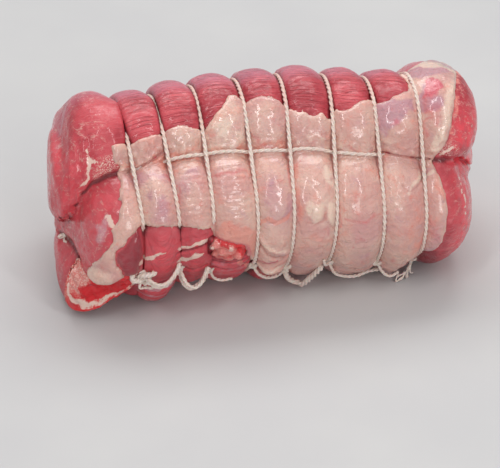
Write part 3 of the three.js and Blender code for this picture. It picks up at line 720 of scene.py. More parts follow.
def makeFlap(material):
    # one section carried from corner to corner of the cut at the left end, its lip hanging over: each
    # point of the skin lifted by the section, the face roughened, the rim's place wandering by noise
    u = np.linspace(0, 1, flap["rows"])[:, None]
    v = np.linspace(0, 1, flap["columns"])
    upper, upperTurn, rim, rimTurn = spreadOut(flap["sections"], u[:, 0], 9)
    across, past, lift = (values.T for values in spreadOut(flap["profile"], v, 5))
    full = np.clip(np.sin(np.pi * u), 0, 1) ** 0.4
    wander = noise(u * 17, 0 * u, 0 * u, 71) + 0.4 * noise(u * 46, 0 * u, 0 * u, 72)
    station = upper + (rim - upper) * across
    turn = upperTurn + (rimTurn - upperTurn) * across - past * full - 0.9 * wander * across
    p, out, free = skin(station, turn)
    x = p[..., 0]
    onFace = ramp(across, 0.06, 0.22) * (1 - ramp(across, 0.80, 0.95))
    rough = 0.7 * flatNoise(x, turn, 3.4, 2.4, 73, 3) \
        + 0.45 * np.sin(turn * 1.3 + 3 * flatNoise(x, turn, 5, 5, 75))
    p = p + out * (lift * (0.3 + 0.7 * full) + rough * onFace)[..., None]

    fromRim = np.linalg.norm(p - p[:, [int(flap["columns"] * flap["rimAt"])]], axis=-1)
    corner = 1 - ramp(u + 0.06 * flatNoise(x, turn, 4, 4, 78), 0.28, 0.40)
    level = np.where(v < flap["rimAt"], fromRim, -fromRim) - follow(flap["bandOff"], u)
    half = follow(flap["bandHalf"], u)
    band = 1 - ramp(np.abs(level) + 0.6 * flatNoise(x, turn, 1.5, 1.3, 77, 3), half * 0.5, half * 1.4)
    white = band * ramp(across, 0.1, 0.3) * (1 - 0.75 * ramp(v, 0.61, 0.69)) \
        * (0.5 + 0.5 * ramp(flatNoise(x, level, 5, 1.1, 80, 2), -0.35, 0.25))
    streaks = ramp(layered(u * 34, across * 3, 0 * x, 79, 2), 0.15, 0.6) * corner
    fresh = 1.3 * (1 - 0.75 * corner * ramp(level, -1.5, 0.5)) * (1 - ramp(v, 0.76, 0.84)) \
        * (1 - 0.6 * ramp(-rough, 0.5, 1.1)) * (1 - 0.45 * ramp(-level, 0.6, 2))
    # painted shade: the lip's turned-under side darker, and the face darker and less bright red in its hollows
    fields = {"fold": 0.5 + 0 * x, "grooveShade": ramp(-lift, 1.0, 3.4) * ramp(v, 0.66, 0.74),
              "pale": np.maximum(white, 0.45 * streaks), "grains": corner * 0.85, "fresh": fresh,
              "warm": np.maximum(corner * 1.2, 0.55 * ramp(-level, 0.8, 2.4)),
              "darkAndShade": 0.35 * ramp(-rough, 0.3, 1.2) + ramp(v, 0.80, 0.88),
              **{key: 0 * x for key in ("silverAndSheen", "face", "paintedSheen", "crinkle", "rosy", "back")}}

    # its border lies buried, so the copy behind, drawn in by its thickness, closes on to the same border
    n = normalsOf(p, False, p - (p[..., 0].mean(), 0, roll["axisHeight"]))
    border = np.ones(x.shape, bool)
    border[1:-1, 1:-1] = False
    part = sheetOf(p, p - n * flap["thick"], border, slice(None), mapOf(x, p, False), fields)
    return makePiece("cutFlap", [part], material, "meat")


fatLook = {
    "bayRows": 30, "leftRows": 30, "rightRows": 38, "columns": 214,
    "leftMost": 0.5, "rightMost": 0.66, "deltas": (-112.0, 86.0),   # how far its grid reaches
    "takenIn": 0.2,                 # how far a pinched point is taken in, in mm
    "ripple": 0.30, "rippled": ((0.8, 6, (-62, 40, -10, 40, -12, 4, -60, 12)),),
    "lumps": (                      # x, turn, half width in x and in turn, height
        (21.5, 13, 5.2, 5.6, 1.0), (30, 10, 3.4, 8, 1.2), (25, -3, 7, 4, 0.7), (-31, 68, 7, 8, 0.8),
        (-2, 60, 8, 8, 0.5), (74, 52, 8, 6, 0.8), (98, 50, 6, 10, 0.7), (100, 70, 4, 12, 0.9),
        (-3, -14.6, 8, 2.6, 0.4), (-3, -23.6, 9, 3.6, 1.9), (-66, 30, 5, 12, 0.6), (32, 24, 5, 10, 0.6),
        (47, 22, 4, 12, 0.6), (84, 22, 6, 7, 0.8), (-97, -16, 9, 7, 2.6), (-104, -19, 6, 5, 1.2),
        (60, -36, 10, 4, 1.0), (36, -38, 9, 4, 1.0), (86, -38, 10, 4, 0.8), (-20, 40, 8, 5, 0.5)),
    "cuts": (                       # folds and seams: depth, width, x and turn of their points
        (1.7, 1.6, (-79, 45.5, -74, 46.5, -67, 50, -60, 54)), (1.6, 1.5, (64.5, 41, 74, 37.5, 83, 35, 92, 33)),
        (0.8, 1.2, (16, 8, 20, 6.4, 25, 8, 26.6, 13)), (0.8, 1.2, (26.4, 14, 27, 7, 31, 2)),
        (1.9, 1.8, (-13.5, -18, -9, -18.6, -4, -17.4, 0.5, -15.6, 6.5, -13)),
        (1.0, 1.4, (-10.4, -4, -6, -9.8, -1, -11.4, 5, -13)),
        (-1.2, 2.4, (-11.6, 4, -8.6, -1, -5.6, -5.4, -1, -7.4, 5, -9.6)), (0.6, 1.2, (-12, 14, -4, 9, 6, 13)),
        (0.7, 1.3, (72, 20, 76, 16, 81, 18, 88, 24)), (0.6, 1.2, (96, 45, 99, 52, 98, 58)),
        (0.8, 1.4, (44, -30, 54, -35, 66, -30)), (0.5, 1.1, (-8, 52, 0, 49, 8, 53))),
    "wander": 2.6, "wanderWide": 9,     # how far the marks wander, and over what width, in mm
    # what the finish is told, each a field of marks
    "lilac": (
        (0.95, 2, (64.4, 66.6, 72, 68, 80.4, 66, 85.4, 66, 86, 60, 78, 55.6, 71, 50.4, 67.4, 49.6, 65.4, 57)),
        (1, 2, (88, 66, 92, 72.6, 96, 68, 101, 67, 100, 62, 92, 59, 88.6, 62)),
        (0.75, 3, (86, 90, 92, 80, 104, 79, 113, 86, 116, 96, 104, 101, 92, 98)),
        (0.3, 6, (-78, 42, -66, 46, -59, 44, -57, 30, -62, 18, -72, 20, -76, 30)),
        (0.4, 7, (38, -4, 44, 10, 56, 12, 62, 0, 58, -16, 46, -24, 38, -20)),
        (0.6, 6, (86, -8, 96, 6, 96, -30, 92, -46, 84, -40)),
        (0.55, 6, (-58, 36, -44, 42, -40, 30, -54, 24)), (0.55, 7, (-8, 28, 4, 32, 8, 6, -8, 6))),
    "blush": (
        (0.7, 2.6, (69, 52.4, 71, 56.4, 74.6, 56.6, 76.4, 53.4, 71.6, 50.6)),
        (0.55, 3, (92, 64, 99, 66, 100, 54, 96, 46, 93, 50)),
        (1.1, 1.8, (93.4, 76, 97, 77.6, 101, 75.4, 101.6, 72, 98.6, 68.6, 94.4, 66, 91.4, 65.6, 90.4, 68.6,
                    93, 72)),
        (0.9, 1.5, 0.6, (-13, -17.4, -9, -17.8, -4, -16.6, 0.5, -14.8)),
        (0.45, 5, (84, 6, 92, 2, 96, -10, 91, -22, 80, -25, 79, -8)),
        (0.3, 5, 0.9, (-60, 44, -57, 30, -58, 20))),
    "blushEdge": ((0.8, 3, (-40, 8, -30, 8, -22, 5, -15, 3.6, -13, -3, -13.6, -14, -40, -14)),),
    "warm": (
        (0.55, 7, (70, 6, 78, 8, 90, 6, 92, -10, 82, -24, 70, -18)), (0.8, 6, 0.9, (12, 40, 13, 24, 12, 10)),
        (0.9, 2.6, 0.6, (-10, 10, -5, 12, -0.4, 10, 5, 12)),
        (0.9, 3.4, (-39, 9, -30, 12, -21, 9, -13.4, 6.6, -11.4, 0, -12, -12, -16, -14, -26, -12)),
        (0.7, 6, 0.9, (-30, 62, -24, 74, -18, 72)), (0.5, 6, (-13, -12, 6, -12, 8, -30, -8, -32)),
        (0.7, 6, 0.9, (22, -2, 32, -4, 34, -8)), (0.7, 3.4, 0.8, (94.6, 30, 95.4, 16, 96, 8)),
        (0.6, 4, 0.9, (-60, 47, -56, 50, -50, 52, -40, 50)),
        (0.35, 4, (-38, -2, -22, 2, -17, -4, -18, 8, -36, 10))),
    "creamAndHighlight": (
        (0.9, 2.2, 0.6, (-11.6, 4, -8.6, -1, -5.6, -5.4, -1, -7.4, 5, -9.6)),
        # the first here is a painted highlight, a short upright streak
        (0.6, 1.6, 0.6, (1.6, 5, 2.8, 0, 1.4, -4)), (0.8, 2.6, 0.6, (-13, -22, -8, -23.6, -3, -22.6, 4, -21)),
        (1, 2.4, (16.4, 15, 21, 18, 25.6, 15, 25, 9, 20, 7.4)),
        (1, 2.4, (27, 15, 31.6, 13, 33.6, 7, 30, 3, 27.6, 8)),
        (0.8, 4, 0.8, (30, 32, 33, 22, 32, 16)), (0.8, 3, 0.8, (76, 16, 80, 19, 86, 24, 92, 26)),
        (0.9, 5, (113, 82, 111, 70, 108, 62, 103, 50, 98, 42, 92, 38, 92, 44, 97, 56, 101, 66, 106, 76)),
        # paler fat along the top of the right end, with a painted sheen
        (0.9, 8, 0.5, (86, 96, 98, 97, 106, 90, 113, 86, 118, 82)),
        (0.7, 4, (-110, -14, -103, -8, -92, -11, -90, -17, -100, -25, -110, -24)),
        (0.9, 3, 0.8, (96.4, 30, 100, 16, 100.6, 2, 99, -14)),
        (0.6, 6, (-30, 70, -20, 79, -13, 78, -16, 60, -34, 60))),
    "vein": tuple((1, 1.2, 1.0, points) for points in (
        (9, 44, 10, 34, 9.4, 22, 11, 8), (-58, 40, -54, 32, -55, 22), (38, 6, 46, 4, 56, 6),
        (-36, 36, -28, 35, -16, 37), (34, 22, 36, 8, 34, -6), (88, 48, 93, 56, 92, 66),
        (-10, 64, -6, 54, 2, 50), (66, -22, 74, -28, 84, -24), (46, 46, 50, 40, 58, 43))),
}


def besides(grid):
    # a grid shifted to each of its eight neighbours and to itself
    for down in (-1, 0, 1):
        for across in (-1, 0, 1):
            yield np.roll(grid, (down, across), (0, 1))


def takenIn(depth):
    # a grid edge just outside the sheet, with cells of it on both sides, would pinch it: its ends are taken in
    for i in range(3):
        inside = depth > 0
        near = np.any(list(besides(inside)), 0)
        cell = cellCorners(near).all(-1) & cellCorners(inside).any(-1)
        rim, pinched = near & ~inside, np.zeros(depth.shape, bool)
        across, down = rim[:, :-1] & rim[:, 1:], rim[:-1] & rim[1:]
        across[1:-1] &= cell[:-1] & cell[1:]
        down[:, 1:-1] &= cell[:, :-1] & cell[:, 1:]
        across[[0, -1]], down[:, [0, -1]] = False, False
        pinched[:, :-1] |= across
        pinched[:, 1:] |= across
        pinched[:-1] |= down
        pinched[1:] |= down
        depth = np.where(pinched, fatLook["takenIn"], depth)
    return depth


def ontoEdge(p, depth):
    # each point just outside the sheet slides on to its edge, towards its innermost neighbour: it goes
    # the share of the way at which the depth passes 0
    best, place = np.full(depth.shape, -1e9), p.copy()
    for near, target in zip(besides(depth), besides(p)):
        share = np.clip(depth / np.where(near > depth, depth - near, -1), 0, 1)
        better = (near > best) & (near > 0) & (depth <= 0)
        place = np.where(better[..., None], p + (target - p) * share[..., None], place)
        best = np.where(better, near, best)
    return place, (depth <= 0) & (best > 0)


def fatFields(x, turn, free, depth, nearCrease, granules, cutShade):
    # what the finish is told at each point, 0 to 1: sums of wandering marks and of broad noise
    wander, wide = fatLook["wander"], fatLook["wanderWide"]
    x, turn = (x + wander * flatNoise(x, turn, wide, wide, 111, 3),
               turn + wander * flatNoise(x, turn, wide, wide, 115, 3))
    mottle = flatNoise(x, turn, 13, 13, 101, 3)
    sums = {key: marked(x, turn, fatLook[key]) for key in ("lilac", "blush", "warm", "creamAndHighlight")}
    sums["lilac"] = sums["lilac"] + 0.35 * ramp(mottle, 0.15, 0.7)
    sums["blush"] = sums["blush"] + marked(x, turn, fatLook["blushEdge"]) * (1 - ramp(depth, 1.4, 4.5))
    alongCrease = hill(turn - creaseTurn(x), 2, 5) * ramp(flatNoise(x, turn, 7, 4, 119, 2), -0.1, 0.5)
    sums["warm"] = sums["warm"] + 0.9 * alongCrease * ramp(-x, -60, 0) + 0.35 * ramp(-mottle, 0.2, 0.7)
    sums["creamAndHighlight"] = sums["creamAndHighlight"] + 0.6 * nearCrease * ramp(granules, -0.1, 0.5)
    return {**{key: np.clip(value, 0, 1) for key, value in sums.items()},
            "vein": marked(x, turn, fatLook["vein"], greatest),
            # painted shade beside the loops and in the folds and seams
            "grooveShade": np.maximum((1 - ramp(free, 0.0, 0.55)) * ramp(depth, 0, 2), cutShade),
            "rim": 1 - ramp(depth, 0.2, 2.2), "thin": ramp(-turn, 18, 60)}


def makeFat(material):
    # the meat's own skin again, raised by the fat's thickness, its lumps and folds, and rounded off to a
    # tucked-in edge as a quarter circle
    look = fatLook
    station = bayStations(*(look[key] for key in ("bayRows", "leftRows", "rightRows", "leftMost", "rightMost")))
    delta = crowded(look["columns"], *look["deltas"], lambda d: 1 + 0.9 * hill(d, 0, 8))
    turn = columnTurns(station, delta)
    p, out, free = skin(np.repeat(station[:, None], len(delta), 1), turn)
    x = p[..., 0]
    depth = takenIn(fatInside(x, turn))
    place, isEdge = ontoEdge(p, depth)
    n = normalsOf(p, False, out)

    soft = flatNoise(x, turn, 8, 8, 91, 3)
    granules = flatNoise(x, turn, 3.4, 2.6, 95, 2)
    nearCrease = hill(turn - creaseTurn(x), 5, 9)
    lift = fat["thick"] - dipBeside(p, turn) + 0.34 * soft * (0.35 + 0.65 * free)
    rough = 0.45 + 0.5 * ramp(-x, 30, 50) + 0.3 * ramp(x, 60, 80)
    lift = lift + rough * nearCrease * granules * ramp(free, 0.1, 0.6)
    waves = np.sin(turn * 1.9 + 3 * flatNoise(x, turn, 11, 9, 97)) * ramp(free, 0.2, 0.7)
    lift = lift + look["ripple"] * (0.2 + marked(x, turn, look["rippled"])) * waves
    for middle, middleTurn, wide, wideTurn, high in look["lumps"]:
        away = np.hypot((x - middle) / wide, (turn - middleTurn) / wideTurn)
        lift = lift + high * (1 - ramp(away + 0.12 * soft, 0.35, 1.0)) * (0.25 + 0.75 * free)
    cutShade = np.zeros(x.shape)
    for deep, width, points in look["cuts"]:
        cut = stroke(x, turn, points, width)
        lift, cutShade = lift - deep * cut, np.maximum(cutShade, cut * min(1, deep))
    q = np.clip(depth / fat["edge"], 0, 1)
    lift = (lift + fat["tuck"]) * np.sqrt(np.clip(1 - (1 - q) ** 2, 0, 1)) - fat["tuck"]
    outer = np.where(isEdge[..., None], place - out * fat["tuck"], p + n * lift[..., None])
    inner = p - n * (fat["tuck"] + 0.2)
    outer[..., 2] = np.maximum(outer[..., 2], 0.2)
    inner[..., 2] = np.maximum(inner[..., 2], 0.1)

    kept = cellCorners((depth > 0) | isEdge).all(-1) & (cellCorners(depth).max(-1) > 0)
    fields = fatFields(x, turn, free, depth, nearCrease, granules, cutShade)
    part = sheetOf(outer, inner, isEdge, kept, mapOf(x, p, False), fields)
    return makePiece("fatSheet", [part], material, "fat_cover")


twine = {
    "radius": 1.18, "plies": 3, "pitch": 11.5, "around": 18, "step": 0.55, "easing": 40,
    "longRadius": 1.1328, "longEasing": 30,
    "press": 0.62, "pressLong": 0.8,            # how proud of the meat the strings' middles lie, in radii
    "overLong": 1.0125,                         # how far above the long string's middle a loop crosses it
    "sinkTop": {0: 3.4, 1: 1.2, 2: 0.4},        # how far a loop sinks between the red bays on top
    "sinkLow": {0: 4.2, 1: 4.2, 2: 4.2},
    "knotTurns": (-17.5, -17.5, -22, -26, -30, -30, -35, -47),
    "proud": {0: 4.6, 1: 3.6, 2: 3.0},          # the first knots ride over the closed clefts
    "knots": (2.1, 0.8, 0.6, 0.7, 0.7, 0.8, 0.8, 0.7),      # size of each knot, in mm a unit
    "knotPitch": 7.0, "knotStep": 0.35, "knotAround": 12, "tailStep": 0.45, "tailPoints": 80,
    "clear": 0.15,                              # least height over the table
    "guess": 56.0, "endReach": 95.0,            # a string's usual distance out, and a domed end's reach in x
    "longTip": (0.97, 0.03), "tipSteps": 40, "longSteps": 260,
    # the long string's runs: side, how far each sinks where it goes out of sight, and how many times that
    # far past the outer loops
    "runs": ((0, 3.9, 2.4), (180, 2.6, 2.2)), "outOfSight": ((1.0, 0.9), (6.02, 6.14)),
    # the knot at the left end: station and turn of its points, and their height over the skin
    "endKnot": ((-0.67, -34.0, 0.8), (-0.65, -33.0, 2.2), (-0.63, -31.0, 2.2), (-0.61, -29.0, 1.0)),
    # the loose ends of each loop: size, then along and round from its knot, and height over the skin
    "tails": (
        ((1.35, ((1, -1, 1.8), (5, -2.8, 3.4), (10, -3.4, 3.4), (14, -1.4, 2.6), (18, 2.6, 1.6),
                 (20.5, 7, 0.2))),
         (1.0, ((1, 0, 3), (6, 0.2, 4.6), (11, -0.4, 4.0), (15, 1.6, 3.0), (19.5, 5, 1.0))),
         (0.9, ((-1, -2, 2.4), (-2, -5, 3.0), (1, -7.5, 3.2), (5, -7, 2.4)))),
        ((1.6, ((0, -2, 2), (2, -8, 3.6), (6, -12.4, 4.6), (11, -10.4, 3.8), (14.6, -4, 2.4), (16, 2, 1.0))),
         (1.1, ((0, -1, 3), (3, -5, 5.2), (8, -8.4, 6.0), (12, -6, 4.6), (15, 0, 1.6)))),
        ((0.9, ((0, -1, 1), (3, -8, 1.6), (8, -11, 1.2), (14, -10, 0.6))),),
        ((1.05, ((0, -1, 1.6), (3, -4, 2.2), (8, -8, 1.8), (14, -11, 1.2), (19, -11, 0.4))),),
        ((1.8, ((-2, 0, 1.5), (0, -8, 3.0), (3, -15, 4.6), (7, -18.5, 5.4), (11, -17, 5.0), (14, -11, 3.2),
                (17, -3, 1.6), (20, 3, 0.4))),
         (0.8, ((0, -2, 1.5), (-4, -6, 1.6), (-8, -10, 1.0)))),
        ((0.9, ((-1, 1, 1.6), (-3, 5, 1.4), (-5, 12, 0.6))),
         (1.05, ((0, -2, 1.8), (4, -8, 2.0), (10, -13, 1.6), (18, -15, 1.4), (26, -15, 1.2), (32, -12, 0.6)))),
        ((1.0, ((0, -1, 1.6), (4, -5, 2.2), (9, -8, 2.0), (14, -7, 1.2))),),
        ((0.78, ((0, 0, 2.0), (-5, 0, 3.6), (-9.6, 0, 3.8), (-11.2, -1, 6), (-10, -2, 8.2), (-7.4, 0, 5.6),
                 (-5, 0, 3.8))),
         (0.8, ((0, 0, 2.0), (-3.4, -1, 4.6), (-4.2, -3, 8), (-2.6, -6, 11.6))),
         (0.66, ((0, 0, 2.0), (-5.6, -1, 4.4), (-8.2, -2, 6.8), (-7.2, -4, 10))),
         (0.6, ((-2, 0, 2.0), (-1.8, -2, 6.2), (0.4, -4, 9.6))))),
    "frayed": 7,                                # this loop's loose ends have come apart into two strands
}


def along(points, closed, step):
    # points spaced evenly along a path, about a step apart
    p = np.asarray(points, float)
    if closed:
        p = np.concatenate([p, p[:1]])
    run = np.concatenate([[0], np.cumsum(np.linalg.norm(np.diff(p, axis=0), axis=1))])
    count = max(8, int(run[-1] / step))
    s = np.linspace(0, run[-1], count + 1)[:-1] if closed else np.linspace(0, run[-1], count)
    return np.stack([np.interp(s, run, p[:, i]) for i in range(3)], -1)


def curved(points, count):
    # a smooth path through a few points: each stretch a cubic with its neighbours' slopes
    p = np.asarray(points, float)
    ends = np.concatenate([[2 * p[0] - p[1]], p, [2 * p[-1] - p[-2]]])
    u = np.linspace(0, len(p) - 1.000001, count)
    i = np.floor(u).astype(int)
    t = (u - i)[:, None]
    a, b, c, d = ends[i], ends[i + 1], ends[i + 2], ends[i + 3]
    return 0.5 * (2 * b + (c - a) * t + (2 * a - 5 * b + 4 * c - d) * t ** 2 + (3 * b - a - 3 * c + d) * t ** 3)


def cordShell(q, closed, radius, seed, stain, pitch=twine["pitch"], plies=twine["plies"],
              around=twine["around"]):
    # a twisted cord: a section of touching strands carried along the path and turned as it goes; a
    # strand's outline is the far crossing of a ray with its circle
    tangent = np.roll(q, -1, 0) - np.roll(q, 1, 0) if closed else np.gradient(q, axis=0)
    tangent /= np.linalg.norm(tangent, axis=1, keepdims=True)
    away = q - (0, 0, roll["axisHeight"])
    away[:, 0] = 0.001
    side = np.cross(tangent, away)
    side /= np.maximum(np.linalg.norm(side, axis=1, keepdims=True), 1e-6)
    up = np.cross(side, tangent)
    length = np.linalg.norm(np.diff(q, axis=0, prepend=q[:1]), axis=1).cumsum()
    turns = length / pitch
    if closed:                      # a whole number of twists, so that the ring meets itself
        whole = length[-1] + np.linalg.norm(q[0] - q[-1])
        turns = length / whole * max(1, round(whole / pitch))
    angle = 2 * np.pi * np.arange(around) / around
    phase = angle[None, :] - 2 * np.pi * turns[:, None]
    wedge = 2 * np.pi / plies
    local = (phase + wedge / 2) % wedge - wedge / 2
    strand = 1 / (1 + 1 / np.sin(wedge / 2))
    middle = 1 - strand
    reach = middle * np.cos(local) + np.sqrt(np.maximum(strand ** 2 - (middle * np.sin(local)) ** 2, 0.0004))
    wobble = 1 + 0.05 * noise(length[:, None] / 2.3, angle[None, :] * 0.9, np.zeros(phase.shape), seed)
    r = radius * np.maximum(reach, 0.60) * wobble
    if not closed:                  # the cut ends close
        fromEnd = np.minimum(length, length[-1] - length)
        r = r * np.sqrt(np.clip(fromEnd / (0.7 * radius), 0.02, 1))[:, None]
    section = np.cos(angle)[None, :, None] * side[:, None] + np.sin(angle)[None, :, None] * up[:, None]
    p = q[:, None] + r[..., None] * section
    p[..., 2] = np.maximum(p[..., 2], twine["clear"])
    uv = np.stack(np.broadcast_arrays(length[:, None], radius * angle[None, :]), -1) * 0.001
    fields = {"stain": np.broadcast_to(np.reshape(stain, (-1, 1)), phase.shape),
              "valley": 1 - ramp(reach, 0.66, 0.92)}
    return shellOf(p, uv, fields, ring=closed)


def fatLift(x, turn, wider=2.0):
    # the fat's thickness where a string lies on it, fading out at its edge
    return fat["thick"] * ramp(fatInside(x, signedTurn(turn)), -wider, 1.0)


def loopOf(k):
    # the taut outline round the offset skin in the loop's own plane: for each way out, the furthest point
    station = np.array([float(k)])
    turn = np.arange(0, 360, 1.5) + creaseOf(station, 0)[0]
    p, out, free = skin(np.full(turn.shape, float(k)), turn)
    p = p + out * (fatLift(p[:, 0], turn) + twine["radius"] * twine["press"] - dipBeside(p, turn))[:, None]
    over = twine["overLong"] * twine["radius"]
    crossed = [longAt(station, side)[0][0] + (0, sign * over, over) for side, sign in ((0, -1), (180, 1))]
    flat = np.stack([np.append(p[:, 1], [q[1] for q in crossed]),
                     np.append(np.maximum(p[:, 2], twine["radius"] + twine["clear"]), [q[2] for q in crossed])
                     - roll["axisHeight"]], -1)
    furthest = (flat @ np.stack(circlePoint(np.arange(0, 360, 0.5), 1))).argmax(0)
    ring = flat[furthest[np.r_[True, np.diff(furthest) != 0]]]
    if (ring[0] == ring[-1]).all():
        ring = ring[:-1]
    q = eased(along(np.insert(ring, 0, 0, axis=1), True, twine["step"]), True, twine["easing"])
    turnHere = np.degrees(np.arctan2(q[:, 2], -q[:, 1]))
    top = ramp(turnHere, 63, 74) * (1 - ramp(turnHere, 120, 150))
    low = ramp(-turnHere, -14, -6) * (1 - ramp(-turnHere, 14, 24))
    sink = twine["sinkTop"].get(k, 0) * top + twine["sinkLow"].get(k, 0) * low
    q[:, 1:] *= (1 - sink / np.linalg.norm(q[:, 1:], axis=1))[:, None]
    q[:, 0] = tiePlane(k, q[:, 1], q[:, 2])
    q[:, 2] += roll["axisHeight"]
    return q, turnHere


def longAt(station, side):
    # the long string lies in the crease, lifted by what it crosses
    turn = creaseOf(station, side) + side
    isEnd = (station < 0) | (station > lastTie)
    p, out, free = skin(station, turn, np.where(isEnd, pinchDepth(turn), 1.9))
    lift = twine["radius"] * twine["pressLong"] + fatLift(p[:, 0], turn, 5) - dipBeside(p, turn) * 0.6
    return p, out, lift


def onSkin(x, turn, lift):
    # points over the bulging meat at places along the roll: the station is read between the loops' planes
    y, h = circlePoint(turn, twine["guess"])
    planes = np.stack([tiePlane(k, y, h) for k in range(lastTie + 1)], -1)
    k = np.clip((x[:, None] >= planes).sum(-1) - 1, 0, lastTie - 1)
    pick = np.arange(len(x))
    s = (x - planes[pick, k]) / (planes[pick, k + 1] - planes[pick, k])
    pastLeft = np.maximum((x - planes[:, 0]) / twine["endReach"], -1)
    pastRight = np.minimum((x - planes[:, -1]) / twine["endReach"], 1)
    station = np.where(s < 0, pastLeft, np.where(s > 1, lastTie + pastRight, k + s))
    p, out, free = skin(station, turn)
    p = p + out * (lift + fatLift(x, turn))[:, None]
    p[:, 2] = np.maximum(p[:, 2], twine["radius"] + 0.1)
    return p


def knotOf(at, out, size, radius, seed, stain):
    # a small overhand knot: a trefoil, one strand passed twice round and through itself
    t = np.linspace(0, 2 * np.pi, 90)[:-1]
    lengthways = np.array([1.0, 0, 0])
    upwards = np.cross(out, lengthways)
    upwards /= np.linalg.norm(upwards)
    a, b, c = np.sin(t) + 2 * np.sin(2 * t), np.cos(t) - 2 * np.cos(2 * t), -np.sin(3 * t)
    path = at + size * (1.15 * a[:, None] * lengthways + 0.8 * b[:, None] * upwards + 0.9 * c[:, None] * out)
    return cordShell(along(path, True, twine["knotStep"]), True, radius, seed, stain,
                     pitch=twine["knotPitch"], around=twine["knotAround"])


def tailOf(points, size, seed, stain, **twist):
    # a loose end: a cord along the smooth path through a few points
    path = along(curved(points, twine["tailPoints"]), False, twine["tailStep"])
    return cordShell(path, False, size, seed, stain, **twist)


def makeLoop(k, material):
    # one loop, its knot just outside it at the knot's own turn, and its loose ends laid over the skin
    q, turnHere = loopOf(k)
    stain = np.clip(ramp(fatInside(q[:, 0], turnHere), 3, -3) * 0.6 + 0.3, 0, 1)
    parts = [cordShell(q, True, twine["radius"], 200 + k, stain)]
    knotTurn, size, proud = twine["knotTurns"][k], twine["knots"][k], twine["proud"].get(k, 0)
    at = q[np.abs((turnHere - knotTurn)).argmin()]
    out = at - (at[0], 0, roll["axisHeight"])
    out /= np.linalg.norm(out)
    middle = at + out * (0.5 + size + proud)
    parts.append(knotOf(middle, out, size, 0.80 + 0.46 * size, 220 + k, 0.15))
    for i, (thick, way) in enumerate(twine["tails"][k]):
        forward, upwards, high = np.array(way, float).T
        points = onSkin(at[0] + forward, knotTurn + upwards, high + 0.4 * proud)
        points[0] = middle
        parts.append(tailOf(points, thick, 240 + 10 * k + i, 0.25, pitch=4.6 + 4.0 * thick,
                            plies=2 if k == twine["frayed"] else 3, around=15 if thick > 0.7 else 10))
    return makePiece("tie" + str(k + 1), parts, material, "tie_" + str(k + 1))


def makeLong(material):
    # in front from the left end to the right, round the right end, and back along the rear crease; it
    # sinks into the meat past its first and last turns
    tip = np.linspace(*twine["longTip"], twine["tipSteps"])
    station = np.concatenate([-tip, np.linspace(0, lastTie, twine["longSteps"]), lastTie + tip[::-1]])
    isEnd = (station < 0) | (station > lastTie)
    left, right = twine["outOfSight"]
    hidden = np.clip(1 - ramp(station, left[1], left[0]) + ramp(station, *right), 0, 1)
    rows = []
    for side, sunk, sunkEnd in twine["runs"]:
        p, out, lift = longAt(station, side)
        q = p + out * (lift - hidden * sunk * np.where(isEnd, sunkEnd, 1))[:, None]
        rows.append(q if side == 0 else q[::-1])
    q = eased(along(np.concatenate(rows), True, twine["step"]), True, twine["longEasing"])
    station, turn, high = np.array(twine["endKnot"]).T
    points, out, free = skin(station, turn)
    points = points + out * high[:, None]
    parts = [cordShell(q, True, twine["longRadius"], 300, 0.3), knotOf(points[0], out[0], 1.0, 1.0, 301, 0.1),
             tailOf(points, 0.8, 302, 0.2, around=12)]
    return makePiece("longTie", parts, material, "long_tie")


def tint(red, green, blue):
    # a screen colour of 0 to 255 as the linear colour the shader takes
    return tuple((c / 12.92 if c <= 0.04045 else ((c + 0.055) / 1.055) ** 2.4)
                 for c in (red / 255, green / 255, blue / 255)) + (1.0,)


class Wire:
    # a socket that can be reckoned with: each +, * and - adds its own Math node
    def __init__(self, finish, socket):
        self.finish, self.socket = finish, socket

    def math(self, kind, *others):
        # any sum of this socket and others, by its kind
        return self.finish.add("ShaderNodeMath", {"operation": kind}, dict(enumerate((self, *others))))

    def __add__(self, other):
        return self.math("ADD", other)

    __radd__ = __add__

    def __mul__(self, other):
        return self.math("MULTIPLY", other)

    __rmul__ = __mul__

    def __sub__(self, other):
        return self.math("SUBTRACT", other)

    def __rsub__(self, other):
        return self.finish.add("ShaderNodeMath", {"operation": "SUBTRACT"}, {0: other, 1: self})

    def ramp(self, low, high, start=0.0, end=1.0):
        # start below low, end above high, smooth between
        return self.finish.add("ShaderNodeMapRange", {"interpolation_type": "SMOOTHSTEP"},
                               {0: self, 1: low, 2: high, 3: start, 4: end})


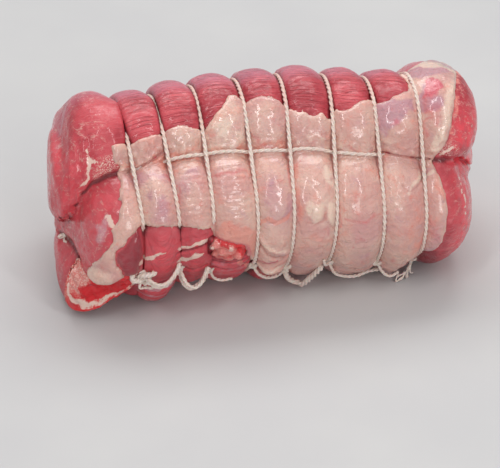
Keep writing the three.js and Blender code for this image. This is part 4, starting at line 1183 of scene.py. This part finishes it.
class Finish:
    # one material and its colours, its nodes added by kind, settings and inputs
    def __init__(self, name, colours):
        self.material = bpy.data.materials.new(name)
        self.material.use_nodes = True
        self.tree = self.material.node_tree
        self.tree.nodes.clear()
        self.colours = {key: tint(*value) for key, value in colours.items()}
        self.end = self.tree.nodes.new("ShaderNodeOutputMaterial")
        self.shader = self.tree.nodes.new("ShaderNodeBsdfPrincipled")
        self.tree.links.new(self.shader.outputs[0], self.end.inputs[0])

    def add(self, kind, settings=None, inputs=None, out=0):
        # any node: its settings first, then the values or links of its sockets
        node = self.tree.nodes.new(kind)
        for key, value in (settings or {}).items():
            setattr(node, key, value)
        self.feed(node, inputs or {})
        return Wire(self, node.outputs[out])

    def feed(self, node, inputs):
        # a value sets a socket, and a wire is linked to it
        for key, value in inputs.items():
            if isinstance(value, Wire):
                self.tree.links.new(value.socket, node.inputs[key])
            else:
                node.inputs[key].default_value = value

    def field(self, name):
        # one of the piece's own fields
        return self.add("ShaderNodeAttribute", {"attribute_name": name}, out=2)

    def blend(self, share, a, b):
        # a share of b over a; colours may be named
        a, b = (self.colours[c] if isinstance(c, str) else c for c in (a, b))
        return self.add("ShaderNodeMix", {"data_type": "RGBA", "blend_type": "MIX"},
                        {0: share, 6: a, 7: b}, out=2)

    def worn(self, colour, name, cloud, jitter, low, high, share=None):
        # a field's own colour laid over another, its edge broken up: the field and the noise's swing, ramped
        mask = (self.field(name) + (cloud - 0.5) * jitter).ramp(low, high)
        return self.blend(mask if share is None else mask * share, colour, name)

    def place(self, scale=(1, 1, 1), turn=(0, 0, 0), mapped=False):
        # the object's own coordinates in mm, or the piece's own map, stretched
        where = self.add("ShaderNodeUVMap", {"uv_map": "lay"}) if mapped \
            else self.add("ShaderNodeTexCoord", out="Object")
        return self.add("ShaderNodeMapping", None,
                        {0: where, "Rotation": turn, "Scale": tuple(1000 * s for s in scale)})

    def cloud(self, where, scale, detail=3.0, rough=0.5, bend=0.0):
        # noise from 0 to 1, its lumps one over the scale wide in mm
        return self.add("ShaderNodeTexNoise", {"noise_dimensions": "3D"}, {
            "Vector": where, "Scale": scale, "Detail": detail, "Roughness": rough, "Distortion": bend})

    def threads(self, noise, low, high):
        # thin lines, 1 where a noise passes its middle
        return 1 - (noise - 0.5).math("ABSOLUTE").ramp(low, high)

    def bumps(self, *layers):
        # heights and their depths in millimetres, each laid on the last
        normal = None
        for height, deep in layers:
            onto = {} if normal is None else {"Normal": normal}
            normal = self.add("ShaderNodeBump", None,
                              {"Height": height, "Distance": deep * 0.001, "Strength": 1.0, **onto})
        return normal


# of these, the darkest red paints shade in the grooves, the lilac pink paints a sheen along the top, and the
# dark red paints both darker meat and shade near the table
beefColours = {
    "lean": (204, 76, 86), "deep": (166, 40, 54), "light": (228, 124, 128), "grooveShade": (104, 8, 22),
    "fat": (236, 200, 186), "silverAndSheen": (208, 150, 158), "fresh": (214, 24, 34), "warm": (232, 138, 128),
    "darkAndShade": (132, 26, 42), "paintedSheen": (206, 140, 160), "rosy": (238, 78, 90),
}


def beefFinish():
    # lean meat in broad and fine patches of three reds, its fibres along the roll, then each field's own
    # colour over it, and the white of fat where the greatest of four patterns says so
    f = Finish("rawBeef", beefColours)
    solid = f.place()
    broad = f.cloud(solid, 0.05, 3, 0.55)
    medium = f.cloud(solid, 0.22, 4, 0.6)
    fibres = f.cloud(f.place((0.10, 1.0, 1.0), mapped=True), 1.15, 3, 0.6, 0.3)
    fine = f.cloud(solid, 1.4, 3, 0.6)
    colour = f.blend(broad.ramp(0.35, 0.68), "lean", "deep")
    colour = f.blend(medium.ramp(0.50, 0.78) * 0.50, colour, "light")
    colour = f.blend(fibres.ramp(0.52, 0.74) * 0.34, colour, "light")
    colour = f.blend(f.field("rosy") * 0.9, colour, f.blend(medium.ramp(0.42, 0.7), "rosy", "lean"))
    crinkle = f.field("crinkle")
    wrinkle = f.threads(f.cloud(f.place((0.055, 1.0, 1.0), mapped=True), 0.34, 2, 0.45, 0.2), 0.0, 0.05)
    # painted shade: the thin wrinkle lines darker
    colour = f.blend(wrinkle * crinkle * 0.24, colour, "deep")
    # painted highlight on the wrinkles' ridges and painted shade in their valleys
    colour = f.blend(f.field("fold").ramp(0.55, 0.95) * 0.36, colour, "light")
    colour = f.blend(f.field("fold").ramp(0.45, 0.05) * 0.5, colour, "deep")
    # painted sheen along the top
    colour = f.blend(f.field("paintedSheen") * (fibres * 0.6 + 0.35), colour, "paintedSheen")
    # silver skin, and painted sheen on the left end
    colour = f.worn(colour, "silverAndSheen", medium, 0.8, 0.25, 0.85, 0.85)
    # darker meat, and painted shade near the table, in the flap's hollows and under its lip
    colour = f.worn(colour, "darkAndShade", medium, 0.5, 0.2, 0.9, 0.8)
    colour = f.worn(colour, "warm", medium, 0.7, 0.35, 0.75, fine.ramp(0.36, 0.56, 0.55, 1.0))
    colour = f.worn(colour, "fresh", medium, 0.9, 0.4, 0.85)
    # marbling and flecks of fat in the cut faces, grains by the edge, and the white streaks
    marble = f.threads(f.cloud(f.place((0.06, 0.06, 0.09)), 1.0, 4, 0.6, 1.4), 0.004, 0.022) \
        * medium.ramp(0.44, 0.60) * (f.field("face") * 0.55 + f.field("back") * 0.5)
    fleck = f.cloud(f.place((0.55, 1.0, 1.0), (0.3, 0.5, 0.2)), 0.85, 3, 0.6, 1.0).ramp(0.64, 0.72) \
        * f.field("face")
    grains = fine.ramp(0.47, 0.60) * f.field("grains").ramp(0.1, 0.8)
    white = (f.field("pale") + (fine - 0.5) * 0.9).ramp(0.36, 0.66)
    for other in (grains * 0.8, fleck * 0.55, marble * 0.7):
        white = white.math("MAXIMUM", other)
    colour = f.blend(white, colour, "fat")
    # painted shade in the strings' beds, the creases and the clefts
    colour = f.worn(colour, "grooveShade", fine, 0.3, 0.25, 1.0, 0.88)
    # the coat of juice is thinner on top, where the surface has dried, and near the floor
    height = f.add("ShaderNodeSeparateXYZ", None, {0: f.add("ShaderNodeTexCoord", out="Object")}, "Z")
    wet = f.cloud(solid, 0.35, 3, 0.55)
    coat = wet.ramp(0.42, 0.66, 0.9, 0.2) * height.ramp(0.012, 0.042, 0.15, 1.0) \
        * height.ramp(0.088, 0.102, 1.0, 0.4)
    f.feed(f.shader, {
        "Base Color": colour, "Roughness": wet.ramp(0.35, 0.7, 0.30, 0.48) + f.field("grooveShade") * 0.1,
        "Coat Weight": coat, "Coat Roughness": 0.1, "Specular IOR Level": 0.45,
        "Normal": f.bumps((fibres, 0.32), ((1 - wrinkle) * crinkle, 0.45), (fine, 0.16), (medium, 0.5)),
        "Subsurface Weight": 0.12, "Subsurface Scale": 0.004, "Subsurface Radius": (1.0, 0.25, 0.15)})
    return f.material


fatColours = {
    "fat": (220, 178, 164), "pink": (208, 154, 146), "lilac": (188, 136, 148), "creamAndHighlight": (234, 206, 188),
    "blush": (206, 98, 110), "warm": (224, 142, 126), "vein": (206, 96, 96), "grooveShade": (196, 124, 116),
    "thin": (206, 140, 136),
}


def fatFinish():
    # pale fat in broad patches, each field's own colour over it, thin veins, and cream along the cut rim
    f = Finish("softFat", fatColours)
    solid = f.place()
    broad = f.cloud(solid, 0.045, 3, 0.5)
    medium = f.cloud(solid, 0.16, 4, 0.6, 0.4)
    fine = f.cloud(solid, 0.9, 4, 0.6)
    lines = f.cloud(f.place((0.28, 1.0, 1.0), mapped=True), 0.75, 3, 0.6, 0.4)
    lumps = f.cloud(solid, 0.30, 2, 0.5, 0.6)
    colour = f.blend(broad.ramp(0.36, 0.66), "fat", "pink")
    colour = f.blend(medium.ramp(0.52, 0.78) * 0.55, colour, "warm")
    colour = f.blend((1 - medium).ramp(0.54, 0.80) * 0.5, colour, "lilac")
    colour = f.blend(f.field("thin") * 0.35, colour, "thin")
    colour = f.worn(colour, "lilac", medium, 0.7, 0.2, 0.9, 0.85)
    colour = f.worn(colour, "warm", medium, 0.8, 0.3, 0.95, 0.72)
    colour = f.worn(colour, "blush", medium, 0.6, 0.3, 0.9)
    # cream fat, with a painted highlight and sheen in two of its marks
    colour = f.worn(colour, "creamAndHighlight", fine, 0.5, 0.3, 0.9, 0.8)
    line = f.threads(f.cloud(f.place((0.05, 0.05, 0.09)), 1.0, 3, 0.55, 1.2), 0.002, 0.012)
    colour = f.blend(line * medium.ramp(0.48, 0.62) * 0.34, colour, "vein")
    colour = f.blend(f.field("vein") * 0.55, colour, "vein")
    colour = f.blend(lines.ramp(0.55, 0.75) * 0.22, colour, "creamAndHighlight")
    # painted shade beside the loops and in the folds and seams
    colour = f.blend(f.field("grooveShade").ramp(0.15, 1.0) * 0.62, colour, "grooveShade")
    colour = f.blend(f.field("rim") * fine.ramp(0.4, 0.6, 0.2, 0.6), colour, "creamAndHighlight")
    f.feed(f.shader, {
        "Base Color": colour, "Roughness": medium.ramp(0.3, 0.7, 0.30, 0.46),
        "Coat Weight": medium.ramp(0.36, 0.66, 1.0, 0.3), "Coat Roughness": 0.1, "Specular IOR Level": 0.45,
        "Normal": f.bumps((lines, 0.16), (fine, 0.18), (lumps, 1.1), (medium, 0.8)),
        "Subsurface Weight": 0.18, "Subsurface Scale": 0.004, "Subsurface Radius": (1.0, 0.45, 0.3)})
    return f.material


def twineFinish():
    # cotton in two tones along its hairs, soiled where it lies on the red meat, darker between the strands
    f = Finish("cottonTwine", {"cotton": (252, 241, 233), "shade": (222, 204, 192), "stain": (224, 176, 164)})
    hairs = f.cloud(f.place((0.35, 1.6, 1.0), mapped=True), 2.2, 3, 0.6, 0.4)
    soil = f.cloud(f.place(), 0.28, 3, 0.6)
    colour = f.blend(hairs.ramp(0.35, 0.7), "shade", "cotton")
    colour = f.blend((soil + f.field("stain") * 0.5).ramp(0.55, 0.95) * 0.6, colour, "stain")
    colour = f.blend(f.field("valley") * 0.65, colour, "shade")
    f.feed(f.shader, {
        "Base Color": colour, "Roughness": 0.82, "Normal": f.bumps((hairs, 0.22)), "Specular IOR Level": 0.25,
        "Subsurface Weight": 0.1, "Subsurface Scale": 0.001})
    return f.material


def floorFinish():
    # a matt pale grey, hardly mottled
    f = Finish("paleFloor", {"grey": (196, 196, 197), "pale": (200, 200, 200)})
    colour = f.blend(f.cloud(f.place(), 0.01, 3, 0.5).ramp(0.3, 0.7), "grey", "pale")
    f.feed(f.shader, {"Base Color": colour, "Roughness": 0.75})
    return f.material


stage = {
    "lens": 141.5, "sensor": 36.0, "distance": 1.15, "azimuth": -11.0, "elevation": 32.0,
    "aim": (0.0, 0.0, 53.0), "aimPixel": (257.0, 177.0), "picture": (500, 468),
    "lightsAim": (0, 0, 0.055),
    "lights": (                     # name, azimuth, elevation, distance and size in m, watts, warmth
        ("softTop", 172, 62, 1.0, (1.0, 0.55), 6.6, (1.0, 0.99, 0.985)),
        ("softLeft", -40, 52, 1.2, (0.08, 0.8), 2.5, (1.0, 0.99, 0.98)),
        ("softFront", 6, 23, 1.3, (0.38, 0.36), 3.0, (1.0, 0.99, 0.985)),
        ("softRight", 30, 50, 1.2, (0.08, 0.8), 2.5, (1.0, 0.99, 0.98))),
    "world": 0.42, "floor": 4.0,    # the room's light, and half the floor's width in m
}


def backWay(azimuth, elevation):
    # the way from the aim back to a light or the camera, 0, 0 being straight in front
    a, e = math.radians(azimuth), math.radians(elevation)
    return Vector((math.sin(a) * math.cos(e), -math.cos(a) * math.cos(e), math.sin(e)))


def placed(name, data):
    # a new object for a mesh, light or camera, put in the scene
    thing = bpy.data.objects.new(name, data)
    bpy.context.scene.collection.objects.link(thing)
    return thing


def makeLights():
    # soft lamps all turned to the joint, and an even white room
    for name, azimuth, elevation, distance, size, watts, warmth in stage["lights"]:
        lamp = bpy.data.lights.new(name, "AREA")
        lamp.shape, lamp.size, lamp.size_y, lamp.energy, lamp.color = "RECTANGLE", *size, watts, warmth
        holder = placed(name, lamp)
        holder.location = Vector(stage["lightsAim"]) + backWay(azimuth, elevation) * distance
        holder.rotation_euler = backWay(azimuth, elevation).to_track_quat("Z", "Y").to_euler()
    world = bpy.data.worlds.new("paleRoom")
    world.use_nodes = True
    light = world.node_tree.nodes["Background"]
    light.inputs[0].default_value, light.inputs[1].default_value = (1, 1, 1, 1), stage["world"]
    bpy.context.scene.world = world
    bpy.context.scene.view_settings.view_transform = "Standard"


def makeCamera():
    # the camera stands back from its aim, turned so that the aim falls on its own pixel
    camera = bpy.data.cameras.new("camera")
    camera.lens, camera.sensor_width, camera.sensor_fit = stage["lens"], stage["sensor"], "HORIZONTAL"
    across, down = stage["picture"]
    reach = across / stage["sensor"] * stage["lens"]
    tilt = math.atan((stage["aimPixel"][1] - down / 2) / reach)
    swing = math.atan((stage["aimPixel"][0] - across / 2) / reach)
    back = backWay(stage["azimuth"], stage["elevation"])
    eye = placed("camera", camera)
    eye.location = Vector(toScene(stage["aim"])) + back * stage["distance"]
    eye.rotation_mode = "QUATERNION"
    eye.rotation_quaternion = (-back).to_track_quat("-Z", "Y") \
        @ Matrix.Rotation(tilt, 4, "X").to_quaternion() @ Matrix.Rotation(swing, 4, "Y").to_quaternion()
    bpy.context.scene.camera = eye


def makeFloor():
    # one square on the table's height
    half = stage["floor"]
    floor = bpy.data.meshes.new("floor")
    corners = [(-half, -half, 0), (half, -half, 0), (half, half, 0), (-half, half, 0)]
    floor.from_pydata(corners, [], [(0, 1, 2, 3)])
    floor.materials.append(floorFinish())
    placed("floor", floor)


makeFloor()
makeLights()
makeCamera()
print("stage set")
beef, fatWhite, cotton = beefFinish(), fatFinish(), twineFinish()
print("finishes made")
makeMeat(beef)
makeFlap(beef)
makeFat(fatWhite)
for loop in range(lastTie + 1):
    makeLoop(loop, cotton)
makeLong(cotton)
